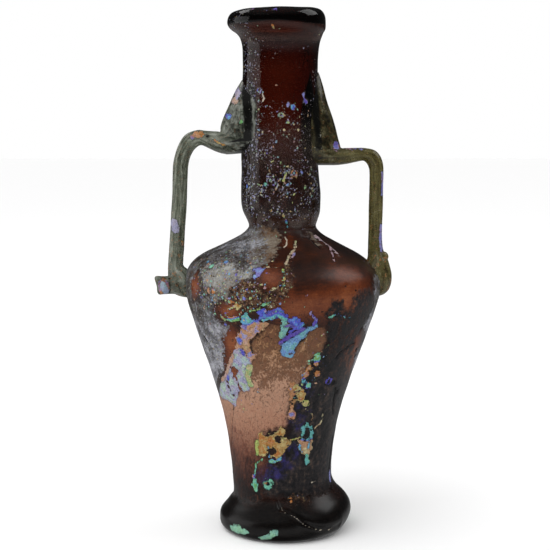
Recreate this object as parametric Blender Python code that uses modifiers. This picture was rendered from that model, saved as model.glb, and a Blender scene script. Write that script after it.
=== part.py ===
# Glass amphoriskos: a small free-blown two-handled flask of aubergine glass with a
# rolled lip, a swelling neck, high round shoulders, a tapering body and a thick
# rounded foot. Each handle is its own trail of olive-green glass, dropped on the
# shoulder, drawn up, bent in to the neck and pulled out upwards into a tongue.
# Metres, +Z up. The front faces -Y. The origin is on the ground, under the middle
# of the box that holds the vessel and both handles.

import math

import bmesh
import bpy
from mathutils import Vector

MM = 0.001

# Heights, stacked from the ground to the lip
FOOT_HEIGHT = 13.5 * MM
TAPER_HEIGHT = 58.5 * MM
SHOULDER_RISE = 16.8 * MM
NECK_HEIGHT = 53.2 * MM
RIM_HEIGHT = 7.8 * MM

# Outer radii
RIM_RADIUS = 14.0 * MM
NECK_RADIUS = 10.7 * MM
NECK_SWELL_RADIUS = 11.3 * MM
NECK_ROOT_RADIUS = 9.5 * MM
SHOULDER_RADIUS = 28.1 * MM
WAIST_RADIUS = 14.4 * MM
FOOT_RADIUS = 19.3 * MM
REST_OUTER_RADIUS = 15.6 * MM
REST_INNER_RADIUS = 12.0 * MM

# The neck swells this far above its root
NECK_SWELL_LEVEL = 8.0 * MM
# The foot is widest this far above the ground
FOOT_WIDEST_LEVEL = 4.6 * MM

# Walls
LIP_THICKNESS = 5.0 * MM
LIP_HEIGHT = 6.6 * MM
NECK_WALL = 3.2 * MM
BODY_WALL = 1.6 * MM
KICK_HEIGHT = 6.0 * MM
FLOOR_THICKNESS = 4.6 * MM
FLOOR_ROUND = 4.0 * MM

# Room left between a handle and the vessel's wall, which are fused in the real one
FUSE_GAP = 0.3 * MM
# How far a handle's rings reach into the vessel before its shape is cut away from them
SINK = 1.2 * MM

# Facets
TURN_STEPS = 40
RING_SIDES = 8
# A ring is drawn larger by what one step of subdivision takes off it
CAGE_GROWTH = 1.08

# Levels that follow from the heights
WAIST_LEVEL = FOOT_HEIGHT
SHOULDER_LEVEL = WAIST_LEVEL + TAPER_HEIGHT
ROOT_LEVEL = SHOULDER_LEVEL + SHOULDER_RISE
RIM_LEVEL = ROOT_LEVEL + NECK_HEIGHT
TOP_LEVEL = RIM_LEVEL + RIM_HEIGHT

# How the blown wall runs between two named radii: (share of the height, share of the radius)
FLARE_SHAPE = ((0.17, 0.52), (-0.02, 0.25), (-0.27, 0.09), (-0.75, 0.0))
ROOT_SHAPE = ((0.52, 0.78), (0.22, 0.28))
SHOULDER_SHAPE = (
    (0.935, 0.03),
    (0.85, 0.115),
    (0.74, 0.29),
    (0.619, 0.505),
    (0.515, 0.69),
    (0.4, 0.835),
    (0.28, 0.93),
    (0.15, 0.983),
)
TAPER_SHAPE = (
    (0.95, 0.98),
    (0.88, 0.9),
    (0.79, 0.775),
    (0.70, 0.65),
    (0.60, 0.5),
    (0.50, 0.365),
    (0.40, 0.24),
    (0.30, 0.14),
    (0.20, 0.07),
    (0.10, 0.02),
)
FOOT_SHAPE = (
    (0.87, 0.045),
    (0.76, 0.14),
    (0.66, 0.27),
    (0.55, 0.43),
    (0.44, 0.61),
    (0.32, 0.79),
    (0.17, 0.95),
)


class Handle:
    """One trail of glass. Reaches are from the middle plane, and levels from the ground."""

    def __init__(self, name, side, **sizes):
        self.name = name
        self.side = side
        for size, value in sizes.items():
            setattr(self, size, value)


LEFT = Handle(
    "left_handle",
    side=-1,
    arm_top=ROOT_LEVEL + 26.9 * MM,
    arm_rise=0.5 * MM,
    arm_thickness=3.9 * MM,
    arm_sag=2.5 * MM,
    bend_reach=7.2 * MM,
    bend_drop=13.0 * MM,
    bend_roundness=2.1,
    inner_bend_reach=4.0 * MM,
    inner_bend_drop=8.5 * MM,
    rod_reach=SHOULDER_RADIUS + 1.1 * MM,
    rod_spread=1.5 * MM,
    rod_width=4.3 * MM,
    rod_depth=4.6 * MM,
    tongue_height=14.6 * MM,
    tongue_swell=5.9 * MM,
    tongue_curve=1.5,
    tongue_width=14.6 * MM,
    tongue_forward=1.4 * MM,
    foot_top=SHOULDER_LEVEL + 7.0 * MM,
    foot_bottom=SHOULDER_LEVEL - 4.0 * MM,
    foot_reach=SHOULDER_RADIUS + 5.1 * MM,
    foot_width=10.5 * MM,
)
RIGHT = Handle(
    "right_handle",
    side=1,
    arm_top=ROOT_LEVEL + 22.2 * MM,
    arm_rise=0.1 * MM,
    arm_thickness=3.6 * MM,
    arm_sag=1.2 * MM,
    bend_reach=5.8 * MM,
    bend_drop=7.4 * MM,
    bend_roundness=2.6,
    inner_bend_reach=2.2 * MM,
    inner_bend_drop=3.4 * MM,
    rod_reach=SHOULDER_RADIUS - 1.15 * MM,
    rod_spread=-0.2 * MM,
    rod_width=4.0 * MM,
    rod_depth=4.2 * MM,
    tongue_height=21.4 * MM,
    tongue_swell=6.7 * MM,
    tongue_curve=1.1,
    tongue_width=12.2 * MM,
    tongue_forward=0.5 * MM,
    foot_top=SHOULDER_LEVEL + 9.7 * MM,
    foot_bottom=SHOULDER_LEVEL - 3.5 * MM,
    foot_reach=SHOULDER_RADIUS + 3.6 * MM,
    foot_width=11.5 * MM,
)

# The snapped-off end of the left trail: a stub that points out and to the front
STUB_REACH = SHOULDER_RADIUS + 8.3 * MM
STUB_LEVEL = SHOULDER_LEVEL + 0.1 * MM
STUB_HEIGHT = 5.6 * MM
STUB_WIDTH = 5.0 * MM
STUB_TURN = 32.0
# The right trail is looped back on itself in a small bead
BEAD_RADIUS = 1.5 * MM

# The farthest that each side reaches from the vessel's axis, so that the origin is midway
LEFT_SPAN = STUB_REACH - 0.5 * MM
RIGHT_SPAN = RIGHT.foot_reach - 0.2 * MM
AXIS_X = (LEFT_SPAN - RIGHT_SPAN) / 2


def between(low, high, share):
    """The value at this share of the way from low to high."""
    return low + (high - low) * share


def ease(t):
    """A smooth step from 0 to 1."""
    t = min(max(t, 0.0), 1.0)
    return t * t * (3 - 2 * t)


def read_stations(stations, level):
    """The value at a level, eased between (level, value) stations that run upwards."""
    if level <= stations[0][0]:
        return stations[0][1]
    for (low, first), (high, second) in zip(stations, stations[1:]):
        if level <= high:
            return between(first, second, ease((level - low) / (high - low)))
    return stations[-1][1]


# The vessel leans a little as it rises, as free-blown glass does: (level, sideways shift)
LEAN = (
    (0.0, 0.2 * MM),
    (FOOT_WIDEST_LEVEL, 1.0 * MM),
    (WAIST_LEVEL, 0.1 * MM),
    (between(WAIST_LEVEL, SHOULDER_LEVEL, 0.35), -0.3 * MM),
    (SHOULDER_LEVEL, 0.3 * MM),
    (between(SHOULDER_LEVEL, ROOT_LEVEL, 0.45), -0.5 * MM),
    (ROOT_LEVEL, -0.05 * MM),
    (ROOT_LEVEL + NECK_SWELL_LEVEL, -0.5 * MM),
    (between(ROOT_LEVEL, RIM_LEVEL, 0.5), -0.95 * MM),
    (RIM_LEVEL, -0.5 * MM),
    (TOP_LEVEL - LIP_HEIGHT / 2, -1.75 * MM),
)
# The foot's right side rides up, and the lip tips a little: (level, rise for each metre to the right)
TILT = (
    (0.0, 0.0),
    (FOOT_WIDEST_LEVEL, 0.055),
    (between(FOOT_WIDEST_LEVEL, WAIST_LEVEL, 0.55), 0.12),
    (WAIST_LEVEL, 0.19),
    (between(WAIST_LEVEL, SHOULDER_LEVEL, 0.3), 0.0),
    (RIM_LEVEL, 0.0),
    (TOP_LEVEL, 0.03),
)


def arc(centre, half_width, half_height, start, end, steps):
    """Points on an ellipse's arc, by angles in degrees from +radius towards +Z."""
    made = []
    for step in range(steps + 1):
        angle = math.radians(between(start, end, step / steps))
        made.append((centre[0] + half_width * math.cos(angle), centre[1] + half_height * math.sin(angle)))
    return made


def lip_centre():
    """The middle of the rolled lip's section."""
    return RIM_RADIUS - LIP_THICKNESS / 2, TOP_LEVEL - LIP_HEIGHT / 2


def outer_wall():
    """The wall's outside, (radius, level) from under the lip down to the foot's widest ring."""
    lip_under = arc(lip_centre(), LIP_THICKNESS / 2, LIP_HEIGHT / 2, -50, -50, 1)[0]
    stations = [lip_under]
    for rise, share in FLARE_SHAPE:
        stations.append((between(NECK_RADIUS, RIM_RADIUS, share), RIM_LEVEL + rise * RIM_HEIGHT))
    swell_level = ROOT_LEVEL + NECK_SWELL_LEVEL
    stations.append((NECK_RADIUS, between(swell_level, RIM_LEVEL, 0.6)))
    stations.append((between(NECK_RADIUS, NECK_SWELL_RADIUS, 0.3), between(swell_level, RIM_LEVEL, 0.2)))
    stations.append((NECK_SWELL_RADIUS, swell_level))
    for rise, share in ROOT_SHAPE:
        radius = between(NECK_ROOT_RADIUS, NECK_SWELL_RADIUS, share)
        stations.append((radius, ROOT_LEVEL + rise * NECK_SWELL_LEVEL))
    stations.append((NECK_ROOT_RADIUS, ROOT_LEVEL))
    for rise, share in SHOULDER_SHAPE:
        radius = between(NECK_ROOT_RADIUS, SHOULDER_RADIUS, share)
        stations.append((radius, SHOULDER_LEVEL + rise * SHOULDER_RISE))
    stations.append((SHOULDER_RADIUS, SHOULDER_LEVEL))
    for rise, share in TAPER_SHAPE:
        radius = between(WAIST_RADIUS, SHOULDER_RADIUS, share)
        stations.append((radius, WAIST_LEVEL + rise * TAPER_HEIGHT))
    stations.append((WAIST_RADIUS, WAIST_LEVEL))
    for rise, share in FOOT_SHAPE:
        radius = between(WAIST_RADIUS, FOOT_RADIUS, share)
        stations.append((radius, between(FOOT_WIDEST_LEVEL, WAIST_LEVEL, rise)))
    stations.append((FOOT_RADIUS, FOOT_WIDEST_LEVEL))
    return stations


OUTER_WALL = outer_wall()


def wall_radius(level):
    """The vessel's outer radius at a level between the foot's widest ring and the lip."""
    for (upper_radius, upper), (lower_radius, lower) in zip(OUTER_WALL, OUTER_WALL[1:]):
        if lower <= level <= upper:
            return between(lower_radius, upper_radius, (level - lower) / (upper - lower))
    return OUTER_WALL[0][0] if level > OUTER_WALL[0][1] else OUTER_WALL[-1][0]


def offset(points, distances):
    """The open outline moved sideways by each point's distance, to the left of its direction of travel."""
    moved = []
    for i, (radius, level) in enumerate(points):
        before = points[max(i - 1, 0)]
        after = points[min(i + 1, len(points) - 1)]
        along = Vector((after[0] - before[0], after[1] - before[1])).normalized()
        moved.append((radius + along.y * distances[i], level - along.x * distances[i]))
    return moved


def inner_wall():
    """The wall's inside, (radius, level) from the middle of the floor up to the lip's throat."""
    walls = []
    for _, level in OUTER_WALL:
        walls.append(between(BODY_WALL, NECK_WALL, ease((level - SHOULDER_LEVEL) / SHOULDER_RISE)))
    floor_level = KICK_HEIGHT + FLOOR_THICKNESS
    round_top = floor_level + FLOOR_ROUND
    throat = TOP_LEVEL - LIP_HEIGHT
    side = [point for point in offset(OUTER_WALL, walls)[::2] if round_top < point[1] < throat]
    side.reverse()
    foot_of_side = side[0][0]
    floor = [
        (0.0, floor_level + 0.12 * FLOOR_ROUND),
        (0.45 * foot_of_side, floor_level),
        (0.78 * foot_of_side, floor_level + 0.16 * FLOOR_ROUND),
        (0.95 * foot_of_side, floor_level + 0.55 * FLOOR_ROUND),
    ]
    return floor + side


def underside():
    """The foot below its widest ring: a round edge, a flat ring to stand on and a pushed-up kick."""
    width = FOOT_RADIUS - REST_OUTER_RADIUS
    edge = arc((REST_OUTER_RADIUS, FOOT_WIDEST_LEVEL), width, FOOT_WIDEST_LEVEL, 0, -90, 4)[1:]
    kick = arc((0.0, 0.0), REST_INNER_RADIUS, KICK_HEIGHT, 0, 90, 5)
    return edge + kick


def vessel_profile():
    """The whole section, from the middle of the floor over the lip to the middle of the underside."""
    lip = arc(lip_centre(), LIP_THICKNESS / 2, LIP_HEIGHT / 2, 205, -30, 8)
    return inner_wall() + lip + OUTER_WALL + underside()


def filled_profile():
    """The vessel without its hollow, grown by the gap that a handle keeps to it."""
    crown = [(0.0, TOP_LEVEL + FUSE_GAP)]
    lip = arc(lip_centre(), LIP_THICKNESS / 2 + FUSE_GAP, LIP_HEIGHT / 2 + FUSE_GAP, 90, -30, 6)
    grown = offset(OUTER_WALL, [-FUSE_GAP] * len(OUTER_WALL))
    return crown + lip + grown + [(0.0, FOOT_WIDEST_LEVEL)]


def as_blown(point):
    """A point of the true turned shape, moved to where the leaning hand-made vessel has it."""
    rise = read_stations(TILT, point.z) * point.x
    return Vector((AXIS_X + point.x + read_stations(LEAN, point.z), point.y, point.z + rise))


def collection(name):
    """A new collection in the scene."""
    made = bpy.data.collections.new(name)
    bpy.context.scene.collection.children.link(made)
    return made


def glass(name, colour, roughness):
    """A plain glass material."""
    made = bpy.data.materials.new(name)
    made.use_nodes = True
    shader = made.node_tree.nodes["Principled BSDF"]
    shader.inputs["Base Color"].default_value = (*colour, 1.0)
    shader.inputs["Roughness"].default_value = roughness
    shader.inputs["Metallic"].default_value = 0.0
    shader.inputs["IOR"].default_value = 1.5
    made.diffuse_color = (*colour, 1.0)
    return made


def turned(name, profile, where):
    """The profile turned round the vertical axis, then leant as the blown vessel leans."""
    mesh = bpy.data.meshes.new(name)
    mesh.from_pydata(
        [(radius, 0.0, level) for radius, level in profile],
        [(i, i + 1) for i in range(len(profile) - 1)],
        [],
    )
    guide = bpy.data.objects.new(name + "_profile", mesh)
    where.objects.link(guide)
    screw = guide.modifiers.new("Turn", "SCREW")
    screw.steps = screw.render_steps = TURN_STEPS
    screw.use_merge_vertices = True
    screw.merge_threshold = 0.00002
    return leant(name, guide, where)


def leant(name, guide, where):
    """The guide's evaluated mesh as an object of its own, with every point moved as blown."""
    graph = bpy.context.evaluated_depsgraph_get()
    mesh = bpy.data.meshes.new_from_object(guide.evaluated_get(graph))
    bpy.data.objects.remove(guide)
    for vertex in mesh.vertices:
        vertex.co = as_blown(vertex.co)
    made = bpy.data.objects.new(name, mesh)
    where.objects.link(made)
    return made


def ring_points(outer, inner, width, forward):
    """A flattened ring round the line from outer to inner, wide along Y and set forward of the middle."""
    middle = (outer + inner) / 2 - Vector((0.0, forward, 0.0))
    half = (outer - inner) / 2
    made = []
    for i in range(RING_SIDES):
        angle = 2 * math.pi * i / RING_SIDES
        aside = Vector((0.0, width / 2 * math.sin(angle), 0.0))
        made.append(middle + half * (CAGE_GROWTH * math.cos(angle)) + aside)
    return made


def loft(name, rings, where):
    """A closed skin over rings of points, rounded by one step of subdivision."""
    shape = bmesh.new()
    loops = [[shape.verts.new(point) for point in ring] for ring in rings]
    for first, second in zip(loops, loops[1:]):
        for i in range(RING_SIDES):
            j = (i + 1) % RING_SIDES
            shape.faces.new((first[i], first[j], second[j], second[i]))
    shape.faces.new(loops[0])
    shape.faces.new(loops[-1])
    bmesh.ops.recalc_face_normals(shape, faces=shape.faces)
    mesh = bpy.data.meshes.new(name)
    shape.to_mesh(mesh)
    shape.free()
    made = bpy.data.objects.new(name, mesh)
    where.objects.link(made)
    rounding = made.modifiers.new("Round", "SUBSURF")
    rounding.levels = rounding.render_levels = 1
    settle(made)
    return made


def settle(made):
    """Applies the object's modifiers."""
    graph = bpy.context.evaluated_depsgraph_get()
    mesh = bpy.data.meshes.new_from_object(made.evaluated_get(graph))
    made.modifiers.clear()
    made.data = mesh


def neck_reach(handle, level):
    """How far the vessel's surface is from the middle plane on the handle's side."""
    return wall_radius(level) + handle.side * read_stations(LEAN, level)


def superround(roundness, share):
    """The reach and the drop, each from 0 to 1, at this share of the way round a bend."""
    turn = share * math.pi / 2
    return math.sin(turn) ** (2 / roundness), 1 - math.cos(turn) ** (2 / roundness)


def tongue_stations(handle):
    """The tongue, from its drawn-out tip down the neck to the arm's upper side."""
    made = []
    for share, width in ((1.0, 0.12), (0.9, 0.42), (0.72, 0.76), (0.5, 0.97), (0.25, 1.0), (0.07, 0.98)):
        level = handle.arm_top + share * handle.tongue_height
        swell = handle.tongue_swell * (1.02 - share**handle.tongue_curve)
        outer = neck_reach(handle, level) + swell
        made.append((outer, level, -SINK, level, width * handle.tongue_width, handle.tongue_forward))
    return made


def arm_stations(handle):
    """The fold under the tongue, the sagging arm and the bend down into the rod."""
    top = handle.arm_top
    bottom = top - handle.arm_thickness
    surface = neck_reach(handle, bottom)
    fold = surface + handle.tongue_swell
    outer_end = handle.rod_reach + handle.rod_width / 2 - handle.bend_reach
    inner_end = handle.rod_reach - handle.rod_width / 2 - handle.inner_bend_reach
    wide = handle.tongue_width
    forward = handle.tongue_forward
    under = bottom - 0.8 * handle.arm_sag
    made = [
        (fold, top, -SINK, between(top, bottom, 0.6), 0.95 * wide, forward),
        (fold + 0.2 * MM, top - 0.1 * MM, -SINK, under, 0.86 * wide, forward),
    ]
    for outer, inner, sag, width in (
        (0.08, 0.03, 0.95, 0.72),
        (0.28, 0.38, 1.0, 0.55),
        (0.50, 0.62, 0.75, 0.3),
        (0.75, 0.84, 0.3, 0.1),
        (0.97, 0.99, 0.0, 0.0),
    ):
        made.append(
            (
                between(fold, outer_end, outer),
                top + outer * handle.arm_rise,
                between(surface, inner_end, inner),
                bottom - sag * handle.arm_sag,
                between(handle.rod_depth, wide, width),
                width * forward,
            )
        )
    for share in (0.3, 0.55, 0.8, 1.0):
        reach, drop = superround(handle.bend_roundness, share)
        inner_reach, inner_drop = superround(2.0, share)
        made.append(
            (
                outer_end + reach * handle.bend_reach,
                top + handle.arm_rise - drop * handle.bend_drop,
                inner_end + inner_reach * handle.inner_bend_reach,
                bottom - inner_drop * handle.inner_bend_drop,
                handle.rod_depth,
                0.0,
            )
        )
    return made


def rod_stations(handle):
    """The rod, from under the bend to just above the shoulder."""
    half = handle.rod_width / 2
    high = handle.arm_top - 1.2 * handle.bend_drop
    made = []
    for share in (0.15, 0.5, 0.85):
        level = between(high, handle.foot_top, share)
        reach = handle.rod_reach + share * handle.rod_spread
        made.append((reach + half, level, reach - half, level, handle.rod_depth, 0.0))
    return made


def foot_stations(handle):
    """The lump that the trail makes on the shoulder, down to its rounded end."""
    rod = handle.rod_reach + handle.rod_spread
    half = handle.rod_width / 2
    made = []
    for share, bulge, inner, width in (
        (0.0, 0.15, 1.0, 0.1),
        (0.2, 0.62, 0.95, 0.5),
        (0.38, 0.88, 0.3, 0.8),
    ):
        level = between(handle.foot_top, handle.foot_bottom, share)
        deep = neck_reach(handle, level) - 4 * SINK
        outer = between(rod + half, handle.foot_reach, bulge)
        spread = between(handle.rod_depth, handle.foot_width, width)
        made.append((outer, level, between(deep, rod - half, inner), level, spread, 0.0))
    for share, bulge, width in (
        (0.55, 1.0, 1.0),
        (0.73, 0.93, 0.95),
        (0.88, 0.7, 0.78),
        (0.97, 0.36, 0.5),
        (1.0, 0.1, 0.3),
    ):
        level = between(handle.foot_top, handle.foot_bottom, share)
        surface = neck_reach(handle, level)
        outer = between(surface, handle.foot_reach, bulge)
        made.append((outer, level, surface - 4 * SINK, level, width * handle.foot_width, 0.0))
    return made


def placed(handle, stations):
    """Rings of points for a handle's stations, on its own side of the vessel."""
    rings = []
    for outer_reach, outer_level, inner_reach, inner_level, width, forward in stations:
        outer = Vector((AXIS_X + handle.side * outer_reach, 0.0, outer_level))
        inner = Vector((AXIS_X + handle.side * inner_reach, 0.0, inner_level))
        rings.append(ring_points(outer, inner, width, forward))
    return rings


def combine(target, other, operation):
    """Joins or cuts target with other, which is then removed if it was joined."""
    step = target.modifiers.new(operation.title(), "BOOLEAN")
    step.operation = operation
    step.object = other
    settle(target)
    if operation == "UNION":
        bpy.data.objects.remove(other)


def stub(where):
    """The left trail's snapped end: a stub that runs out and to the front, to a flat oval break."""
    turn = math.radians(STUB_TURN)
    out = Vector((-math.cos(turn), -math.sin(turn), 0.0))
    aside = Vector((math.sin(turn), -math.cos(turn), 0.0))
    start = SHOULDER_RADIUS - 2.5 * SINK
    root = Vector((AXIS_X - start, 0.0, STUB_LEVEL))
    length = (STUB_REACH - start - STUB_WIDTH / 2 * math.sin(turn)) / math.cos(turn)
    rings = []
    for share, height, width in (
        (0.0, 1.2, 1.3),
        (0.35, 1.15, 1.2),
        (0.65, 1.0, 1.05),
        (0.9, 0.95, 0.98),
        (0.99, 0.86, 0.88),
        (1.0, 0.7, 0.72),
    ):
        centre = root + share * length * out
        ring = []
        for i in range(RING_SIDES):
            angle = 2 * math.pi * i / RING_SIDES
            sideways = aside * (width * STUB_WIDTH / 2 * math.cos(angle))
            ring.append(centre + sideways + Vector((0.0, 0.0, height * STUB_HEIGHT / 2 * math.sin(angle))))
        rings.append(ring)
    return loft("left_stub", rings, where)


def bead(where):
    """The loop at the top of the right trail's foot."""
    reach = RIGHT.rod_reach + RIGHT.rod_spread + RIGHT.rod_width / 2 + 0.2 * BEAD_RADIUS
    centre = Vector((AXIS_X + reach, -0.3 * RIGHT.rod_depth, RIGHT.foot_top - 1.15 * BEAD_RADIUS))
    shape = bmesh.new()
    bmesh.ops.create_uvsphere(shape, u_segments=12, v_segments=8, radius=BEAD_RADIUS)
    bmesh.ops.translate(shape, verts=shape.verts, vec=centre)
    mesh = bpy.data.meshes.new("right_bead")
    shape.to_mesh(mesh)
    shape.free()
    made = bpy.data.objects.new("right_bead", mesh)
    where.objects.link(made)
    return made


def build_handle(handle, extra, cutter, material, where):
    """One handle: tongue, arm, rod and foot in one skin, with its extra lump, cut clear of the vessel."""
    stations = tongue_stations(handle) + arm_stations(handle) + rod_stations(handle) + foot_stations(handle)
    made = loft(handle.name, placed(handle, stations), where)
    combine(made, extra(where), "UNION")
    combine(made, cutter, "DIFFERENCE")
    finish(made, material)


def finish(made, material):
    """The material, and smooth shading but for true edges."""
    made.data.materials.clear()
    made.data.materials.append(material)
    made.data.shade_smooth()
    made.data.set_sharp_from_angle(angle=math.radians(50))


def main():
    for old in list(bpy.data.objects):
        bpy.data.objects.remove(old)
    pieces = collection("Amphoriskos")
    cutters = collection("Cutters")
    aubergine = glass("Aubergine glass", (0.070, 0.020, 0.010), 0.12)
    olive = glass("Olive glass", (0.105, 0.110, 0.065), 0.22)

    vessel = turned("vessel", vessel_profile(), pieces)
    finish(vessel, aubergine)

    cutter = turned("vessel_clearance", filled_profile(), cutters)
    cutter.hide_render = True
    cutter.display_type = "WIRE"
    build_handle(LEFT, stub, cutter, olive, pieces)
    build_handle(RIGHT, bead, cutter, olive, pieces)


main()
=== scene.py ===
"""The looks of a small blown-glass amphoriskos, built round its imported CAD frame."""

import logging
import math
from collections.abc import Sequence
from dataclasses import dataclass
from enum import Enum

import bmesh
import bpy
import numpy as np
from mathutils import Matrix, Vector


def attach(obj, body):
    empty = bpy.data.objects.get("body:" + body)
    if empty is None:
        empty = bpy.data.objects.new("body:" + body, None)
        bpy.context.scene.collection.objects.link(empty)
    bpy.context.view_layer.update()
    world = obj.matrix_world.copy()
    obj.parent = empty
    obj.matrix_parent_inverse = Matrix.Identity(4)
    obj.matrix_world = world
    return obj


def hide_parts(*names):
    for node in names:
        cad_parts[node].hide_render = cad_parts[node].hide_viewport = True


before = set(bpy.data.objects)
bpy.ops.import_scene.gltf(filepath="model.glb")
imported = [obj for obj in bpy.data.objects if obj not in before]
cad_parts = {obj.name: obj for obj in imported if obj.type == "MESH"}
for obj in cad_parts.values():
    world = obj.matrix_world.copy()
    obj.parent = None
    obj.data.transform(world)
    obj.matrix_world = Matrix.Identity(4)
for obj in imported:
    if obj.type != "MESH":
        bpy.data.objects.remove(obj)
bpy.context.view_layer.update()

MM = 0.001
BODY = "root"

log = logging.getLogger("amphoriskos")

Pair = tuple[float, float]
Stations = Sequence[Pair]
Station = tuple[float, ...]
Stops = tuple[tuple[float, str], ...]
Colour = bpy.types.NodeSocket | tuple[float, float, float, float]

GLASS_IOR = 1.5
BUMP_STRENGTH = 0.8
HUE_PARTS = ("_hue", "_play", "_pallor")


class Hue(Enum):
    """The colours that a lifting film of weathered glass shows, as places along its spectrum."""

    STRAW = 0.05
    GOLD = 0.12
    ORANGE = 0.20
    PEACH = 0.28
    ROSE = 0.34
    LAVENDER = 0.41
    VIOLET = 0.48
    BLUE = 0.56
    SKY = 0.65
    TEAL = 0.74
    MINT = 0.81
    GREEN = 0.88
    LIME = 0.95


class Layer(Enum):
    """What a mark on the glass is a mark of. The value is the name of its mesh attribute."""

    FILM = "film"
    HAZE = "haze"
    TAN = "tan"
    SKIN = "skin"
    CHAR = "char"
    CRUST = "crust"
    FLAKE = "flake"
    THREAD = "thread"
    DARK = "dark"
    PALE = "pale"
    BLOOM = "bloom"
    FOLD = "fold"
    CREASE = "crease"


class Form(Enum):
    """How a mark's points are read."""

    AREA = "area"
    LINE = "line"
    SPOT = "spot"
    RING = "ring"


SPECTRUM = (
    (Hue.STRAW, "#C9BC80"),
    (Hue.GOLD, "#B07E3A"),
    (Hue.ORANGE, "#BC7436"),
    (Hue.PEACH, "#C8986E"),
    (Hue.ROSE, "#A8748A"),
    (Hue.LAVENDER, "#8E94D2"),
    (Hue.VIOLET, "#5E46B0"),
    (Hue.BLUE, "#4E5ED6"),
    (Hue.SKY, "#68AED6"),
    (Hue.TEAL, "#66BAAA"),
    (Hue.MINT, "#86D2AA"),
    (Hue.GREEN, "#66AE68"),
    (Hue.LIME, "#B2C066"),
)


def srgb(code: str) -> tuple[float, float, float, float]:
    """Turns a colour to what the shaders take.

    Args:
        code: The colour as sRGB hex, such as "#7A4A30".

    Returns:
        Linear red, green, blue and a full alpha.
    """
    parts = [int(code[i : i + 2], 16) / 255 for i in (1, 3, 5)]
    linear = [c / 12.92 if c <= 0.04045 else ((c + 0.055) / 1.055) ** 2.4 for c in parts]
    return (*linear, 1.0)


def between(low: float, high: float, share: float) -> float:
    """The value at this share of the way from low to high."""
    return low + (high - low) * share


def per_metre(size_mm: float) -> float:
    """A texture's scale for a pattern that repeats about every size_mm."""
    return 1000.0 / size_mm


def eased(stations: Stations, levels: np.ndarray) -> np.ndarray:
    """Reads a value that runs smoothly from station to station.

    Args:
        stations: (level, value) pairs that run upwards.
        levels: Where to read it.

    Returns:
        The value at each level, held beyond the first and last station.
    """
    at, value = np.array(stations, float).T
    first = np.clip(np.searchsorted(at, levels) - 1, 0, len(at) - 2)
    share = np.clip((levels - at[first]) / (at[first + 1] - at[first]), 0, 1)
    share = share * share * (3 - 2 * share)
    return value[first] + (value[first + 1] - value[first]) * share


def arc(centre: Pair, half: Pair, start: float, end: float, steps: int) -> list[Pair]:
    """Points on an ellipse's arc.

    Args:
        centre: The ellipse's middle.
        half: Half its width and half its height.
        start: The first point's angle in degrees, from the first axis to the second.
        end: The last point's angle.
        steps: How many parts the arc is in.

    Returns:
        The points, steps + 1 of them.
    """
    angles = np.radians(np.linspace(start, end, steps + 1))
    return [(centre[0] + half[0] * math.cos(a), centre[1] + half[1] * math.sin(a)) for a in angles]


def smooth_line(stations: Sequence[Sequence[float]], spacing: float, measured: int = 2) -> np.ndarray:
    """An even row of points on a smooth curve through the stations.

    Args:
        stations: The points that the curve runs through.
        spacing: The distance from one made point to the next.
        measured: How many of a point's leading numbers count towards its distance.

    Returns:
        The points, one to a row.
    """
    given = np.array(stations, float)
    given = np.vstack([2 * given[0] - given[1], given, 2 * given[-1] - given[-2]])
    fine = []
    for i in range(1, len(given) - 2):
        a, b, c, d = given[i - 1 : i + 3]
        knots = [0.0]
        for first, second in ((a, b), (b, c), (c, d)):
            knots.append(knots[-1] + max(np.linalg.norm((second - first)[:measured]), 1e-6) ** 0.5)
        t = np.linspace(knots[1], knots[2], 16, endpoint=False)[:, None]
        ab = a + (b - a) * (t - knots[0]) / (knots[1] - knots[0])
        bc = b + (c - b) * (t - knots[1]) / (knots[2] - knots[1])
        cd = c + (d - c) * (t - knots[2]) / (knots[3] - knots[2])
        abc = ab + (bc - ab) * (t - knots[0]) / (knots[2] - knots[0])
        bcd = bc + (cd - bc) * (t - knots[1]) / (knots[3] - knots[1])
        fine.append(abc + (bcd - abc) * (t - knots[1]) / (knots[2] - knots[1]))
    fine.append(given[-2:-1])
    line = np.vstack(fine)
    length = run_length(line[:, :measured])
    wanted = np.linspace(0, length[-1], max(2, round(length[-1] / spacing) + 1))
    return np.column_stack([np.interp(wanted, length, column) for column in line.T])


def run_length(line: np.ndarray) -> np.ndarray:
    """How far each point is along its line."""
    steps = np.linalg.norm(np.diff(line, axis=0), axis=1)
    return np.concatenate([[0.0], np.cumsum(steps)])


def line_distance(points: np.ndarray, line: np.ndarray) -> np.ndarray:
    """Each point's distance to a line of straight parts.

    Args:
        points: The points, one to a row.
        line: The line's corners, one to a row.

    Returns:
        The distances.
    """
    nearest = np.full(len(points), np.inf)
    for a, b in zip(line, line[1:]):
        along = b - a
        away = points - a
        share = np.clip(away @ along / max(along @ along, 1e-9), 0, 1)
        nearest = np.minimum(nearest, np.linalg.norm(away - share[:, None] * along, axis=1))
    return nearest


def area_depth(points: np.ndarray, outline: np.ndarray) -> np.ndarray:
    """How deep each point lies in an outline, below zero outside it.

    Args:
        points: The points, one to a row.
        outline: The outline's corners in order, one to a row.

    Returns:
        The depths.
    """
    closed = np.vstack([outline, outline[:1]])
    inside = np.zeros(len(points), bool)
    for a, b in zip(closed, closed[1:]):
        spans = (a[1] > points[:, 1]) != (b[1] > points[:, 1])
        rise = b[1] - a[1] if b[1] != a[1] else 1e-9
        crossing = a[0] + (points[:, 1] - a[1]) * (b[0] - a[0]) / rise
        inside ^= spans & (points[:, 0] < crossing)
    return np.where(inside, 1.0, -1.0) * line_distance(points, closed)


def slopes(line: np.ndarray) -> np.ndarray:
    """The direction of a line at each of its points."""
    steps = np.gradient(line, axis=0)
    return steps / np.linalg.norm(steps, axis=1)[:, None]


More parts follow.
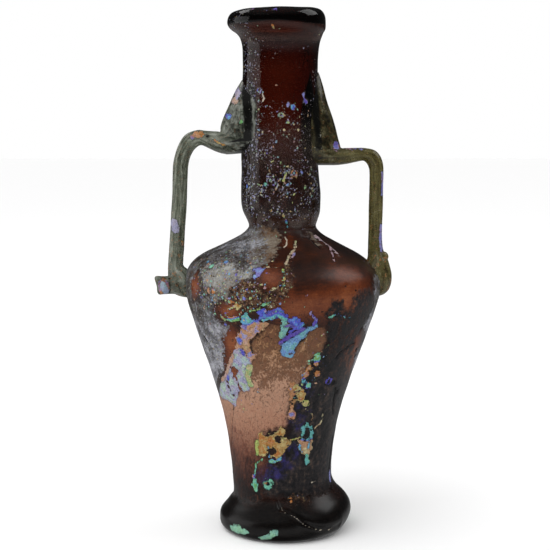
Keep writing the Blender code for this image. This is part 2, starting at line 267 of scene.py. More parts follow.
def link_object(name: str, data: bpy.types.ID) -> bpy.types.Object:
    """Puts an object in the scene.

    Args:
        name: Its name.
        data: Its mesh, lamp or camera.

    Returns:
        The object.
    """
    made = bpy.data.objects.new(name, data)
    bpy.context.scene.collection.objects.link(made)
    return made


def write_values(mesh: bpy.types.Mesh, name: str, values: np.ndarray) -> None:
    """Writes a number for every point on the mesh, for the materials to read."""
    mesh.attributes.new(name, "FLOAT", "POINT").data.foreach_set("value", values)


def add_node(
    tree: bpy.types.NodeTree, kind: str, links: dict | None = None, **settings: object
) -> bpy.types.Node:
    """Adds one node to a tree.

    Args:
        tree: The material's or the world's node tree.
        kind: The node's type name.
        links: For each input, by name or by number, a signal or a socket to link, or a value to set.
        **settings: The node's own properties; stops gives a colour ramp its (place, hex) stops.

    Returns:
        The node.
    """
    node = tree.nodes.new(kind)
    stops = settings.pop("stops", ())
    for name, value in settings.items():
        setattr(node, name, value)
    if stops:
        ends = node.color_ramp.elements
        ends[0].position, ends[0].color = stops[0][0], srgb(stops[0][1])
        ends[1].position, ends[1].color = stops[-1][0], srgb(stops[-1][1])
        for place, code in stops[1:-1]:
            ends.new(place).color = srgb(code)
    for name, value in (links or {}).items():
        value = value.socket if isinstance(value, Signal) else value
        if isinstance(value, bpy.types.NodeSocket):
            tree.links.new(value, node.inputs[name])
        else:
            node.inputs[name].default_value = value
    return node


@dataclass(frozen=True)
class Signal:
    """A number that a node gives, which can be reckoned with like any other number."""

    tree: bpy.types.NodeTree
    socket: bpy.types.NodeSocket

    def worked(self, operation: str, *others: "Signal | float") -> "Signal":
        """What the operation makes of this number and the others."""
        node = add_node(self.tree, "ShaderNodeMath", dict(enumerate((self, *others))), operation=operation)
        return Signal(self.tree, node.outputs[0])

    def __add__(self, other: "Signal | float") -> "Signal":
        """The sum."""
        return self.worked("ADD", other)

    def __sub__(self, other: "Signal | float") -> "Signal":
        """The difference."""
        return self.worked("SUBTRACT", other)

    def __mul__(self, other: "Signal | float") -> "Signal":
        """The product."""
        return self.worked("MULTIPLY", other)

    def __lt__(self, other: "Signal | float") -> "Signal":
        """One where this number is the smaller, else zero."""
        return self.worked("LESS_THAN", other)

    def wrapped(self) -> "Signal":
        """What is left from 0 to 1 when whole ones are taken off."""
        return self.worked("WRAP", 1.0, 0.0)


Number = Signal | float


@dataclass(frozen=True)
class Mark:
    """One mark, with its points as (degrees from the front, millimetres up), or on a handle as (x, z) in mm.

    size is a line's half width, a spot's half width and half height, or a ring's radius and half width.
    play says how far the hue wanders, pallor how pale it is, cut takes the mark out of its layer, and echo
    repeats it, mirrored, at that angle on the back.
    """

    layer: Layer
    form: Form
    points: tuple[Pair, ...]
    hue: Hue | None = None
    size: Pair = (0.5, 0.5)
    play: float = 0.16
    pallor: float = 0.0
    cut: bool = False
    echo: float | None = None


def patch(layer: Layer, *outline: Pair, **look: object) -> Mark:
    """A mark that fills its outline."""
    return Mark(layer, Form.AREA, outline, **look)


def stroke(layer: Layer, half_width: float, *line: Pair, **look: object) -> Mark:
    """A mark along a line."""
    return Mark(layer, Form.LINE, line, size=(half_width, 0.0), **look)


def spots(layer: Layer, size: Pair, *middles: Pair, **look: object) -> Mark:
    """Oval marks of one size."""
    return Mark(layer, Form.SPOT, middles, size=size, **look)


def rings(layer: Layer, size: Pair, *middles: Pair, **look: object) -> Mark:
    """Round open marks of one size."""
    return Mark(layer, Form.RING, middles, size=size, **look)


BODY_MARKS = (
    # The grey lifted film of the left side and the shoulder
    patch(
        Layer.FILM, (-76, 88), (-60, 89), (-34, 88), (-14, 84), (-12, 80), (-20, 78.2), (-22.4, 76.4),
        (-27.5, 75.5), (-30, 73.4), (-37, 71.5), (-43.4, 69.5), (-45, 66.6), (-42, 64.4), (-35, 63),
        (-42.5, 58.5), (-44.3, 54.9), (-47, 51.8), (-46.5, 50), (-61.7, 46.7), (-74.6, 43.4), (-84, 40.4),
        (-100, 44), (-112, 53), (-115, 63), (-111, 72), (-106, 80), (-100, 86), (-90, 88), echo=168.0,
    ),
    patch(
        Layer.HAZE, (-54.9, 78.2), (-48.5, 79.2), (-35.3, 79.4), (-23.6, 79.1), (-18.3, 78.5), (-18.9, 77),
        (-23.1, 76.4), (-26.2, 75.1), (-28.8, 72.8), (-34.3, 71), (-43.2, 70.1), (-49.2, 70.9), (-51.9, 73),
        (-51.3, 75.2), (-54.5, 76.6), echo=150.0,
    ),
    patch(
        Layer.FILM, (65.5, 74.5), (65.7, 69.9), (70, 65), (60.3, 62.2), (77, 58), (70, 55), (69, 52),
        (82.6, 44), (80, 37.6), (95, 34), (108, 44), (112, 58), (108, 70), (92, 78),
    ),
    patch(
        Layer.TAN, (-64.6, 88), (-32.4, 89.3), (-10.7, 88.6), (-1.7, 86.8), (-2.8, 84.4), (-4.4, 82.5),
        (-9.2, 80.7), (-12.6, 79.8), (-19.4, 79.7), (-26.8, 81.4), (-35, 84.1), echo=-172.0,
    ),
    # Bare glass in the film
    patch(
        Layer.FILM, (-58.2, 78.1), (-59.3, 76.7), (-56.4, 74.9), (-51.9, 74.1), (-53.6, 72), (-58.9, 69.8),
        (-66.9, 67.5), (-67.9, 69.2), (-66.4, 72.1), (-65.1, 74.5), (-62.9, 76.2), (-61.8, 77.9), cut=True,
    ),
    patch(
        Layer.FILM, (-39.8, 68.5), (-36.5, 69.8), (-30.3, 70.3), (-26.5, 69.6), (-25.5, 68.3),
        (-27.2, 66.8), (-31.7, 65.5), (-36.8, 65.2), (-39.5, 66.3), cut=True,
    ),
    patch(
        Layer.FILM, (-33.3, 63.4), (-26.9, 63.6), (-29, 61.5), (-32.1, 57.6), (-36.3, 54.4), (-42.4, 51.2),
        (-45.3, 52.5), (-42.3, 56.2), (-38.9, 58.7), (-33, 60.8), cut=True,
    ),
    # The pinkish matt skin down the front
    patch(
        Layer.SKIN, (-21.8, 52.9), (-19.5, 56), (-21.1, 58), (-15.8, 60.7), (-9.2, 63.8), (-3.3, 63.8),
        (-1.4, 59.8), (-1.3, 56.8), (6.8, 55), (8.9, 57.9), (14.1, 60.8), (19.7, 63.3), (23.9, 62.6),
        (28, 59.8), (25.2, 56.4), (19.6, 54.2), (17, 51.3), (15, 48.3), (11, 46), (7.8, 41.8), (5.7, 38.7),
        (5.3, 34.2), (-0.4, 33.3), (-17.2, 32.2), (-21, 29), (-20, 25), (-19, 20), (-22, 15), (-30, 12),
        (-60, 11), (-95, 12), (-112, 20), (-106, 31), (-82, 38.5), (-62, 41), (-50, 41), (-41.6, 41.3),
        (-36.4, 44), (-29.3, 44.3), (-24.5, 47.4), echo=160.0,
    ),
    # The charred-looking side on the right
    patch(
        Layer.CHAR, (48.4, 72), (42.2, 69.6), (40.5, 66.8), (33.3, 69.9), (27.7, 71.2), (26.8, 69.1),
        (24.2, 67.2), (28.2, 62.1), (29.7, 58), (25.5, 55.8), (21.3, 53.5), (20.6, 50), (16, 47.7),
        (11.4, 44.1), (7.9, 41.2), (5.8, 38.1), (7.3, 33.3), (4.4, 28.1), (1, 23.6), (-15.9, 22),
        (-21, 18.2), (-22, 14.8), (10, 12), (60, 11), (92, 13), (104, 22), (100, 34), (88, 42), (70, 45),
        (63.4, 49.6), (57.6, 57.7), (62.5, 60.8), (70.2, 64.1), (64.3, 69.4), (56.7, 72.2), echo=-140.0,
    ),
    patch(
        Layer.CRUST, (-27.5, 75.3), (-21.2, 76.5), (-15.2, 75.3), (-12, 73.8), (-7.6, 73.3), (-3.5, 74.4),
        (0.4, 76.2), (1.8, 78.4), (5, 80.7), (6.3, 78.9), (5.5, 75.9), (2.3, 72.8), (-2.2, 71.2),
        (-4.4, 69.5), (-8.8, 68.9), (-14.7, 67.7), (-21.9, 67.5), (-26.5, 69.3), (-30.2, 71.2), (-32, 73.3),
        echo=140.0,
    ),
    stroke(Layer.THREAD, 0.2, (-11.6, 79.4), (-7.2, 79.7), (-2.6, 79.6), hue=Hue.STRAW, pallor=0.3),
    stroke(
        Layer.THREAD, 0.22, (-11.8, 75.3), (-9.7, 74.1), (-6.3, 74), (-2.8, 74.9), hue=Hue.STRAW,
        pallor=0.3,
    ),
    # Fine dark edges and pits
    stroke(Layer.DARK, 0.2, (63.5, 74), (65.5, 70.2), (69.6, 66.2), (65, 63), (60.3, 60.4)),
    stroke(Layer.DARK, 0.16, (57.7, 56.8), (50, 56.1), (43.9, 54.9), (40.5, 53.3)),
    stroke(Layer.DARK, 0.38, (-65.3, 58.3), (-62.5, 57)),
    stroke(Layer.DARK, 0.32, (-77.3, 48.6), (-76.4, 46.9)),
    stroke(Layer.DARK, 0.1, (-41.8, 43.1), (-50.1, 37.2), (-62.2, 30.4), (-75.7, 24.4)),
    stroke(Layer.PALE, 0.2, (-1.7, 86.8), (4.2, 86.7), (6.5, 85.8), (5.4, 84.8), (2.5, 84.2)),
    stroke(Layer.FOLD, 0.5, (40, 87.6), (50.6, 87), (54, 85.9), (51.5, 84.6), (52.5, 83.4), (50.4, 81.7)),
    # Pale rose streaks on the fold: partly pale film, partly a painted highlight where the ridge catches the
    # light
    stroke(
        Layer.THREAD, 0.5, (52.6, 86.2), (52.6, 84.6), (53, 83.3), (51, 81.8), hue=Hue.ROSE, play=0.02,
        pallor=0.5,
    ),
    stroke(Layer.THREAD, 0.22, (52, 83.4), (46.4, 82), (40.6, 80.5), hue=Hue.ROSE, play=0.02, pallor=0.3),
    stroke(Layer.TAN, 0.5, (47, 87), (46, 85.5), (43.6, 84.3)),
    stroke(Layer.DARK, 0.2, (31.7, 86.6), (39.5, 86.2), (41, 85.3), (40, 84.2), (41, 83.2)),
    stroke(Layer.DARK, 0.22, (51.1, 43.8), (53.5, 40), (57.7, 36.1)),
    stroke(Layer.DARK, 0.28, (70.9, 27.8), (71.2, 22.5), (69.4, 14.2)),
    spots(Layer.DARK, (0.7, 0.7), (54.8, 42.3), (46.3, 45.6), (69.2, 52.1), (65.8, 54.2), (82.7, 46.4)),
    spots(Layer.DARK, (0.4, 0.32), (38, 74.1), (31.8, 70.5), (22.3, 67.5), (45.2, 72.7)),
    stroke(
        Layer.DARK, 0.14, (-20.7, 62.1), (-18.5, 60.4), (-16, 59.6), (-13.4, 59.9), (-10.7, 60.8), (-7, 60),
        (-4.6, 58.3),
    ),
    stroke(
        Layer.CREASE, 0.5, (-7, 12.5), (-5, 10.8), (-4, 9.8), (3.6, 9.2), (9.9, 7.8), (14.9, 6.2),
        (22.5, 4.8), (32.6, 3.6), (44.6, 3), (54.4, 3),
    ),
    stroke(
        Layer.PALE, 0.08, (-2.5, 10.6), (-1.2, 9.1), (3.6, 8.5), (9.9, 7.3), (14.9, 5.7), (22.5, 4.3),
        (32.6, 3.1), (48, 2.6),
    ),
    spots(Layer.THREAD, (0.5, 0.8), (8.4, 11.3), hue=Hue.ORANGE, play=0.05),
    spots(Layer.CRUST, (1.0, 0.5), (14, 11.8), (20, 11.4)),
    stroke(Layer.PALE, 0.2, (34.1, 14.8), (39.9, 14.6)),
    stroke(Layer.THREAD, 0.7, (73.5, 14.5), (71.5, 12.6), hue=Hue.LAVENDER, play=0.04),
    # The blue and violet zigzag, and the teal slab under it
    patch(
        Layer.FLAKE, (-16.5, 67.6), (-12.3, 68.9), (-10, 68.6), (-10.1, 67.5), (-6.6, 68.6), (-2.2, 69),
        (0.7, 67.5), (3, 66.1), (4.7, 66.4), (7, 66.7), (8.8, 66.1), (9.5, 64.9), (11.4, 64.3),
        (12.3, 63.1), (10.6, 62.3), (5.1, 62.6), (3.8, 63.8), (3.1, 64.7), (1.9, 65.6), (-0.4, 66.1),
        (-3.3, 66.4), (-5.6, 65.8), (-9.1, 65.5), (-12.7, 65.2), (-16.4, 64.5), (-18.2, 64.8),
        (-15.6, 65.7), (-14.2, 66.8), hue=Hue.BLUE, play=0.1, echo=-150.0,
    ),
    patch(
        Layer.FLAKE, (-2, 57.4), (-0.8, 58.6), (2.3, 59.8), (6.5, 60.9), (10.6, 62.3), (14.7, 63.4),
        (18.7, 64.4), (21.4, 63.8), (19.2, 63), (16.3, 62.2), (13.4, 60.8), (10.6, 59.4), (8.3, 57.7),
        (7.2, 56), (6.9, 54.6), (4.1, 54.7), (0.1, 55.2), (-1.6, 55.8), hue=Hue.SKY, play=0.07, pallor=0.1,
    ),
    stroke(Layer.FLAKE, 0.02, (-1.1, 57.6), (0.2, 56.4), (3.3, 55.6), (7.2, 56.2), cut=True),
    patch(
        Layer.FLAKE, (-1, 66.1), (2.5, 65), (3.2, 63.2), (2.1, 61.8), (0.4, 60.3), (-2.1, 59.8),
        (-2.7, 61.5), (-2.1, 63.2), hue=Hue.TEAL, play=0.06, pallor=0.15,
    ),
    patch(
        Layer.FLAKE, (-24.7, 66.3), (-21.9, 67.5), (-19.8, 66.1), (-17.5, 65.1), (-18.4, 63.9),
        (-22.3, 63.5), (-24.8, 64), (-25.7, 65.1), hue=Hue.TEAL,
    ),
    patch(
        Layer.FLAKE, (-17.5, 79.2), (-13.6, 79.4), (-8.4, 79.6), (-10.7, 78.8), (-12.3, 77.8),
        (-12.8, 77.1), (-16.3, 76.6), (-17.7, 77.3), (-15.5, 78.1), (-17.7, 78.8), hue=Hue.BLUE, play=0.12,
        pallor=0.25, echo=120.0,
    ),
    # The long band down the left
    patch(
        Layer.FLAKE, (-26.3, 63.3), (-20.1, 64.4), (-15.1, 65.1), (-10.3, 65.2), (-8, 64.4), (-10.5, 63.5),
        (-13, 62.5), (-15.7, 61.6), (-18.5, 60.4), (-21.4, 59.4), (-21.9, 57.7), (-20.2, 55.9),
        (-17.5, 55.4), (-19.2, 54.2), (-22.5, 52.9), (-25, 54.6), (-27.2, 56.9), (-32.7, 56.4), (-31.1, 60),
        (-28.2, 61.8), hue=Hue.PEACH, play=0.28, pallor=0.2, echo=175.0,
    ),
    patch(
        Layer.FLAKE, (-32.7, 56.4), (-27.2, 56.9), (-25, 54.6), (-22.5, 52.9), (-23.8, 51.4), (-26, 49.8),
        (-26.8, 48), (-24.9, 46.2), (-27.4, 44.3), (-31.4, 43.9), (-34.9, 44.6), (-37.6, 43.6),
        (-41.2, 41.6), (-44.5, 39.3), (-47.4, 38.3), (-49.4, 39.7), (-56.8, 39.8), (-67, 39.7), (-74, 40.5),
        (-64.4, 43.2), (-56.4, 45.8), (-48.6, 47.8), (-44.2, 50.2), (-39.5, 52.2), (-36.3, 54.4),
        hue=Hue.SKY, play=0.36, pallor=0.58, echo=-160.0,
    ),
    stroke(
        Layer.THREAD, 0.9, (-24.9, 46.2), (-26.6, 48), (-25.8, 49.8), (-23.8, 51.4), hue=Hue.LIME,
        pallor=0.2,
    ),
    stroke(
        Layer.THREAD, 0.6, (-36.3, 54.4), (-39.5, 52.2), (-44.2, 50.2), (-48.6, 47.8), (-56.4, 45.8),
        hue=Hue.PEACH, pallor=0.3,
    ),
    patch(
        Layer.FLAKE, (-40.3, 51.3), (-36.8, 50.8), (-33.6, 50.1), (-36.3, 48.8), (-40.1, 47.4),
        (-41.2, 48.8), cut=True,
    ),
    stroke(Layer.FLAKE, 0.3, (-37.9, 47.8), (-36.8, 46.4), (-35.9, 44.6), cut=True),
    stroke(Layer.FLAKE, 0.3, (-49.3, 46), (-47.6, 44), (-44.5, 42), cut=True),
    # Gold over the waist, and what hangs from it
    patch(
        Layer.FLAKE, (-22.7, 31.4), (-18.2, 32.5), (-11.4, 31.4), (-4.4, 31.8), (-0.4, 33.6), (4.4, 32.4),
        (2.5, 30.8), (6.5, 30.2), (10.6, 29.3), (5.5, 27.8), (2.3, 26.6), (0, 24.8), (-1.2, 23.7),
        (-5.6, 22.8), (-12.1, 23.2), (-12.8, 24.6), (-14.6, 26.1), (-18.3, 25.2), (-24, 24.8),
        (-27.1, 25.9), (-27.6, 27.5), (-23.5, 29.3), hue=Hue.GOLD, play=0.1, echo=150.0,
    ),
    patch(
        Layer.FLAKE, (16.8, 29.8), (22.3, 29.3), (27.9, 28.8), (32.8, 28.9), (33.4, 26.9), (31.4, 25),
        (29.2, 23.1), (26.9, 21.5), (25.3, 24), (20.6, 24.9), (18.2, 26.6), (16.9, 28.2), hue=Hue.GOLD,
        play=0.1, pallor=0.22, echo=-168.0,
    ),
    spots(Layer.FLAKE, (1.2, 1.1), (-11, 26.4), (-3.6, 30.2), cut=True),
    spots(Layer.FLAKE, (1.0, 0.7), (-10.4, 24.1), (-15.6, 31.6), cut=True),
    stroke(
        Layer.FLAKE, 0.36, (21.3, 33), (25.1, 34.1), (29.9, 33), (32, 31.4), (31.2, 29.9), (26.7, 29.2),
        (21.1, 29.6), (21.3, 33), hue=Hue.TEAL, play=0.06,
    ),
    stroke(Layer.THREAD, 0.3, (18.1, 27.9), (20.6, 25.8), hue=Hue.SKY, play=0.05),
    stroke(Layer.THREAD, 0.55, (26.7, 24.4), (28.1, 21.6), hue=Hue.TEAL, play=0.06),
    stroke(Layer.THREAD, 0.16, (29.5, 29.5), (28.8, 26.5), hue=Hue.SKY, play=0.05),
    stroke(Layer.THREAD, 0.5, (-25.8, 29), (-27.4, 27.2), (-27, 25.6), hue=Hue.LIME, play=0.05),
    stroke(Layer.THREAD, 0.12, (-14.2, 27.8), (-12.9, 26.1), (-14, 24.3), hue=Hue.SKY, play=0.05),
    patch(
        Layer.FLAKE, (-33.9, 19.6), (-30.6, 18.2), (-29.8, 16.4), (-31.5, 15.2), (-35, 15.8), (-37, 16.8),
        (-36, 18), hue=Hue.MINT, play=0.1, echo=100.0,
    ),
    rings(Layer.FLAKE, (1.0, 0.42), (-16.6, 17), hue=Hue.MINT, play=0.1),
    spots(Layer.THREAD, (0.5, 0.4), (-18.4, 17.4), hue=Hue.ORANGE, play=0.05),
    spots(Layer.THREAD, (0.6, 0.5), (-33.9, 19.2), hue=Hue.ORANGE, play=0.05),
    patch(
        Layer.FLAKE, (-57.9, 3.9), (-47.9, 5), (-42.8, 4.8), (-37, 3.9), (-32.6, 3), (-37.8, 2.2),
        (-45.2, 1.9), (-53.4, 2.3), hue=Hue.MINT, play=0.1, pallor=0.2, echo=110.0,
    ),
    patch(
        Layer.FLAKE, (-22.6, 2), (-18.3, 2.9), (-13.3, 3.7), (-11.9, 4.6), (-6.7, 4.9), (-5.5, 3.4),
        (-8.3, 2.4), (-14.1, 1.5), (-20.7, 1.2), hue=Hue.MINT, play=0.1, pallor=0.2, echo=-145.0,
    ),
    # The orange chain and the small spots beside it
    spots(
        Layer.FLAKE, (0.8, 0.72), (7.8, 46.6), (6.9, 45.2), (8.6, 43.9), (7.4, 42.6), (9.3, 41.4),
        (8.9, 40), (8.6, 38.6), hue=Hue.ORANGE, play=0.12, pallor=0.12,
    ),
    spots(Layer.FLAKE, (1.1, 1.3), (9.5, 37.2), hue=Hue.ROSE),
    spots(Layer.FLAKE, (1.4, 1.7), (15.9, 43.1), hue=Hue.GOLD),
    spots(Layer.FLAKE, (1.0, 1.0), (21.3, 40.6), (11.9, 45.4), hue=Hue.STRAW),
    spots(Layer.FLAKE, (1.1, 1.3), (24, 54.3), hue=Hue.GREEN),
    spots(Layer.FLAKE, (0.8, 0.8), (24.2, 52.3), (19.3, 51.2), hue=Hue.ORANGE),
    spots(Layer.FLAKE, (0.9, 1.1), (26.5, 49.5), (17.7, 49.4), hue=Hue.PEACH),
    spots(Layer.FLAKE, (0.7, 0.7), (16.9, 47.4), (21.5, 46), hue=Hue.TEAL),
    rings(Layer.FLAKE, (0.9, 0.28), (39.9, 46.5), hue=Hue.BLUE),
    # Threads and edges over the flakes
    stroke(Layer.THREAD, 0.62, (-1.7, 59.2), (4.1, 60.9), (8.2, 62), (11.7, 63), hue=Hue.VIOLET, play=0.03),
    stroke(Layer.THREAD, 0.5, (4, 62.3), (8, 63.4), (10.9, 64.4), hue=Hue.BLUE, play=0.04),
    stroke(Layer.THREAD, 0.22, (9.5, 63.3), (12, 64.3), hue=Hue.TEAL, play=0.03),
    stroke(
        Layer.THREAD, 0.25, (0.2, 63.8), (3.7, 64.1), (6.8, 63.5), hue=Hue.VIOLET, play=0.03, pallor=0.1,
    ),
    stroke(Layer.BLOOM, 1.4, (12, 44.9), (16.9, 44.9), (22.3, 44.5)),
    stroke(Layer.THREAD, 0.55, (-9, 67), (-4, 67.6), (1.2, 66.6), hue=Hue.VIOLET, play=0.06),
    stroke(
        Layer.THREAD, 0.42, (-12.6, 65.4), (-9.1, 65.8), (-5.6, 66.4), (-4.4, 67.5), (-2.2, 66.7),
        (1.3, 65.8), hue=Hue.TEAL,
    ),
    stroke(Layer.THREAD, 0.4, (15.6, 67.4), (17.7, 65.9), (19.1, 65.3), (17.6, 63.9), hue=Hue.VIOLET),
    stroke(Layer.THREAD, 0.25, (24.6, 66), (27.3, 65.6), (29.8, 66.1), (33.2, 66.3), hue=Hue.SKY),
    stroke(Layer.THREAD, 0.2, (35.4, 66.2), (38.9, 65.4), (43.1, 65.2), hue=Hue.SKY),
    stroke(
        Layer.THREAD, 0.3, (-19.4, 67.9), (-15.8, 68.2), (-12.2, 69.4), (-8.8, 70.3), (-6, 71.1),
        hue=Hue.GREEN,
    ),
    stroke(Layer.THREAD, 0.2, (-40.1, 67.1), (-39.6, 66), (-36.9, 64.9), hue=Hue.LIME, play=0.08),
    stroke(Layer.THREAD, 0.34, (-36.9, 64.9), (-31.9, 64.9), (-26.9, 65.5), hue=Hue.GREEN, play=0.1),
    stroke(Layer.THREAD, 0.36, (-34, 65.6), (-31.5, 65.6), (-28, 66.2), hue=Hue.ORANGE, play=0.1),
    stroke(Layer.THREAD, 0.32, (-32.3, 70.1), (-29, 70.1), (-26, 69.2), hue=Hue.ORANGE, play=0.08),
    stroke(Layer.THREAD, 0.3, (-32.8, 68), (-28.5, 69), hue=Hue.STRAW, play=0.05),
    stroke(Layer.THREAD, 0.26, (-27.4, 68.2), (-24.6, 69.4), hue=Hue.STRAW, play=0.05),
    spots(Layer.THREAD, (0.7, 1.0), (-28.6, 58.9), (-27.6, 55.7), (-46.7, 47.3), hue=Hue.VIOLET),
    stroke(Layer.THREAD, 0.42, (-13.1, 23.5), (-5.5, 23.4), (-1.1, 24.5), hue=Hue.TEAL),
    stroke(
        Layer.THREAD, 0.16, (22.2, 38.7), (27.6, 37.7), (30.7, 36), (29.1, 34.9), hue=Hue.STRAW, pallor=0.2,
    ),
    stroke(
        Layer.THREAD, 0.2, (40.3, 37.1), (43.2, 35.2), (40.6, 33.5), (34.8, 32.5), hue=Hue.STRAW,
        pallor=0.3,
    ),
    stroke(Layer.THREAD, 0.18, (1.5, 30.6), (8.5, 29.6), (15.7, 30.1), (23, 30.5), hue=Hue.STRAW),
    stroke(Layer.THREAD, 0.18, (-22, 24), (-29.8, 22.6), (-31.8, 20.4), (-33.9, 18.8), hue=Hue.MINT),
    stroke(
        Layer.THREAD, 0.3, (3.4, 80.4), (8.5, 82.8), (13.5, 83.9), (17.9, 85.6), hue=Hue.STRAW, play=0.12,
        pallor=0.4,
    ),
    stroke(Layer.THREAD, 0.4, (9, 81.9), (11.4, 82.9), hue=Hue.LAVENDER, pallor=0.3),
    stroke(Layer.THREAD, 0.25, (1.3, 79.3), (1.5, 77.7), (1.5, 75.9), (-1.5, 73.8), hue=Hue.LIME, play=0.4),
    # Violet and blue in the dark side
    spots(Layer.BLOOM, (3.2, 2.4), (-15, 19.5), (-6, 20.5), (3, 22.5)),
    spots(Layer.BLOOM, (2.4, 2.6), (14.5, 35.5), (19.5, 38)),
    spots(Layer.BLOOM, (2.6, 3.0), (9, 25.5)),
    spots(Layer.THREAD, (0.6, 0.5), (-58, 79.6), (-41, 80.2), hue=Hue.SKY),
    spots(Layer.THREAD, (0.8, 0.7), (-50, 78.8), hue=Hue.GREEN),
    spots(Layer.THREAD, (0.6, 0.9), (-47, 72.6), (-43, 72.4), hue=Hue.ORANGE),
)

NECK_MARKS = (
    spots(Layer.THREAD, (0.7, 0.6), (20.6, 122.6), (41.5, 124.2), hue=Hue.BLUE),
    spots(Layer.THREAD, (0.4, 0.6), (12.7, 123.4), (37.3, 125.9), hue=Hue.VIOLET),
    rings(Layer.THREAD, (0.6, 0.2), (-32.7, 127), hue=Hue.VIOLET),
    spots(Layer.THREAD, (0.55, 0.5), (-21.6, 101.3), hue=Hue.TEAL),
    rings(Layer.THREAD, (0.6, 0.2), (2.5, 120.4), hue=Hue.GREEN, pallor=0.2),
    rings(Layer.THREAD, (0.8, 0.28), (20.7, 104.3), hue=Hue.GOLD),
    spots(Layer.THREAD, (0.35, 0.35), (20.7, 104.3), hue=Hue.TEAL),
    spots(Layer.THREAD, (0.5, 0.5), (-58.3, 100.5), hue=Hue.BLUE),
    stroke(Layer.THREAD, 0.3, (8.5, 104.1), (5.3, 103), (3.8, 102.2), hue=Hue.LIME),
    stroke(Layer.THREAD, 0.18, (2.1, 92.7), (6.3, 91.2), hue=Hue.GOLD),
    stroke(Layer.THREAD, 0.25, (6.3, 91.2), (9.7, 88.9), hue=Hue.TEAL),
    spots(Layer.THREAD, (0.6, 0.3), (-12.3, 148.9), (-1.5, 149), (-30.2, 149.4), hue=Hue.LAVENDER),
    spots(Layer.THREAD, (0.45, 0.7), (-6.1, 144.5), hue=Hue.GOLD),
    stroke(Layer.PALE, 0.14, (-27.6, 126.4), (-24.1, 125.1), (-27.1, 124)),
)

# On a handle the points are (millimetres right of the middle, millimetres up), on its front
LEFT_MARKS = (
    spots(Layer.FLAKE, (1.7, 1.0), (-21.8, 114.9), hue=Hue.ORANGE),
    spots(Layer.FLAKE, (0.6, 0.6), (-23.4, 114.2), hue=Hue.LAVENDER),
    spots(Layer.DARK, (0.7, 0.6), (-19.0, 114.5)),
    spots(Layer.FLAKE, (1.1, 1.3), (-28.9, 89.6), (-28.4, 88), hue=Hue.LAVENDER, play=0.03, pallor=0.45),
    spots(Layer.FLAKE, (0.4, 0.9), (-26.4, 83.8), hue=Hue.ORANGE),
    spots(Layer.FLAKE, (0.9, 1.5), (-10.4, 126.5), hue=Hue.LAVENDER, pallor=0.5),
    spots(Layer.FLAKE, (1.0, 1.0), (-11.2, 124.4), hue=Hue.PEACH, pallor=0.4),
    spots(Layer.FLAKE, (0.9, 0.9), (-13.0, 120.1), hue=Hue.BLUE),
    spots(Layer.FLAKE, (0.5, 0.6), (-9.4, 118.4), hue=Hue.GREEN),
    spots(Layer.FLAKE, (0.4, 0.5), (-9.3, 112.7), hue=Hue.VIOLET),
    stroke(Layer.FLAKE, 0.22, (-17.0, 113.4), (-15.0, 112.3), (-12.8, 111.6), (-10.8, 112.5), hue=Hue.GOLD),
    # Painted shade: the wide dark band in the groove where the tongue meets the neck
    stroke(
        Layer.DARK, 1.3, (-8.4, 128.0), (-7.6, 123.2), (-7.2, 117.6), (-7.4, 113.3), (-8.4, 110.5),
        (-10.6, 108.6),
    ),
    stroke(Layer.DARK, 0.35, (-14.4, 118.6), (-12.9, 115.6), (-13.6, 112.4)),
    spots(Layer.FLAKE, (1.7, 2.3), (-31.6, 71.8), hue=Hue.PEACH, play=0.2),
    spots(Layer.THREAD, (1.0, 1.3), (-31.7, 72.3), (-31.1, 71), hue=Hue.SKY, play=0.1, pallor=0.5),
    stroke(Layer.DARK, 0.3, (-30.2, 74.3), (-29.6, 72), (-30.2, 69.6)),
)

# The marks on the right handle
RIGHT_MARKS = (
    # Painted shade: the wide dark band in the groove where the tongue meets the neck
    stroke(Layer.DARK, 1.0, (11.2, 128.0), (11.6, 121.6), (12.2, 114.0), (12.6, 108.5)),
    stroke(Layer.DARK, 0.5, (14.9, 127.5), (16.3, 122.0), (17.2, 116.5)),
    spots(Layer.FLAKE, (0.5, 0.8), (13.1, 115.4), hue=Hue.ORANGE),
    spots(Layer.FLAKE, (0.9, 1.6), (17.4, 111.5), hue=Hue.LAVENDER),
    stroke(Layer.FLAKE, 0.25, (16.5, 110.6), (16.7, 108.6), hue=Hue.ORANGE),
    stroke(Layer.FLAKE, 0.3, (30.6, 104.2), (30.9, 100.8), (30.6, 97.6), hue=Hue.LAVENDER, play=0.06),
    stroke(Layer.FLAKE, 0.4, (30.6, 89.0), (30.4, 85.2), (30.7, 81.7), hue=Hue.LAVENDER, play=0.06),
    stroke(Layer.FLAKE, 0.15, (20.1, 110.9), (23.0, 110.9), (25.8, 110.6), hue=Hue.ROSE),
)

# Each spot is (degrees from the front, level, reach in degrees, reach up, strength)
# Painted glow: warm light in the brown glass, where light would shine through, painted into its colour
PAINTED_GLOWS = (
    (-52, 20, 34, 9, 0.6),
    (44, 76, 17, 6, 0.5),
    (18, 70, 30, 5, 0.5),
    (40, 67, 18, 5, 0.35),
    (2, 67, 12, 4, 0.3),
    (56, 52, 14, 9, 0.75),
    (-62, 73, 8, 4, 0.8),
    (-34, 58, 9, 5, 0.75),
    (-33, 67.6, 9, 2.6, 0.8),
    (-7, 77, 10, 3.6, 0.6),
    (-38, 48, 12, 6, 0.8),
    (10, 86, 12, 3, 0.3),
    (175, 62, 40, 14, 0.6),
    (128, 30, 28, 12, 0.5),
)

# Fine silvery specks on the neck
DUSTINGS = (
    (-62, 127, 22, 14, 1.0),
    (-58, 106, 18, 12, 0.9),
    (-44, 115, 14, 6, 0.8),
    (-26, 104, 26, 8, 1.0),
    (18, 103, 30, 8, 0.75),
    (66, 103, 22, 10, 0.9),
    (-34, 94, 34, 5, 0.9),
    (34, 94, 34, 4, 0.5),
    (66, 124, 12, 10, 0.35),
    (-10, 119, 30, 4, 0.35),
    (0, 138, 60, 5, 0.12),
    (-50, 145, 20, 5, 0.3),
    (160, 108, 60, 18, 0.7),
    (-115, 112, 28, 20, 0.8),
    (108, 112, 24, 14, 0.6),
)

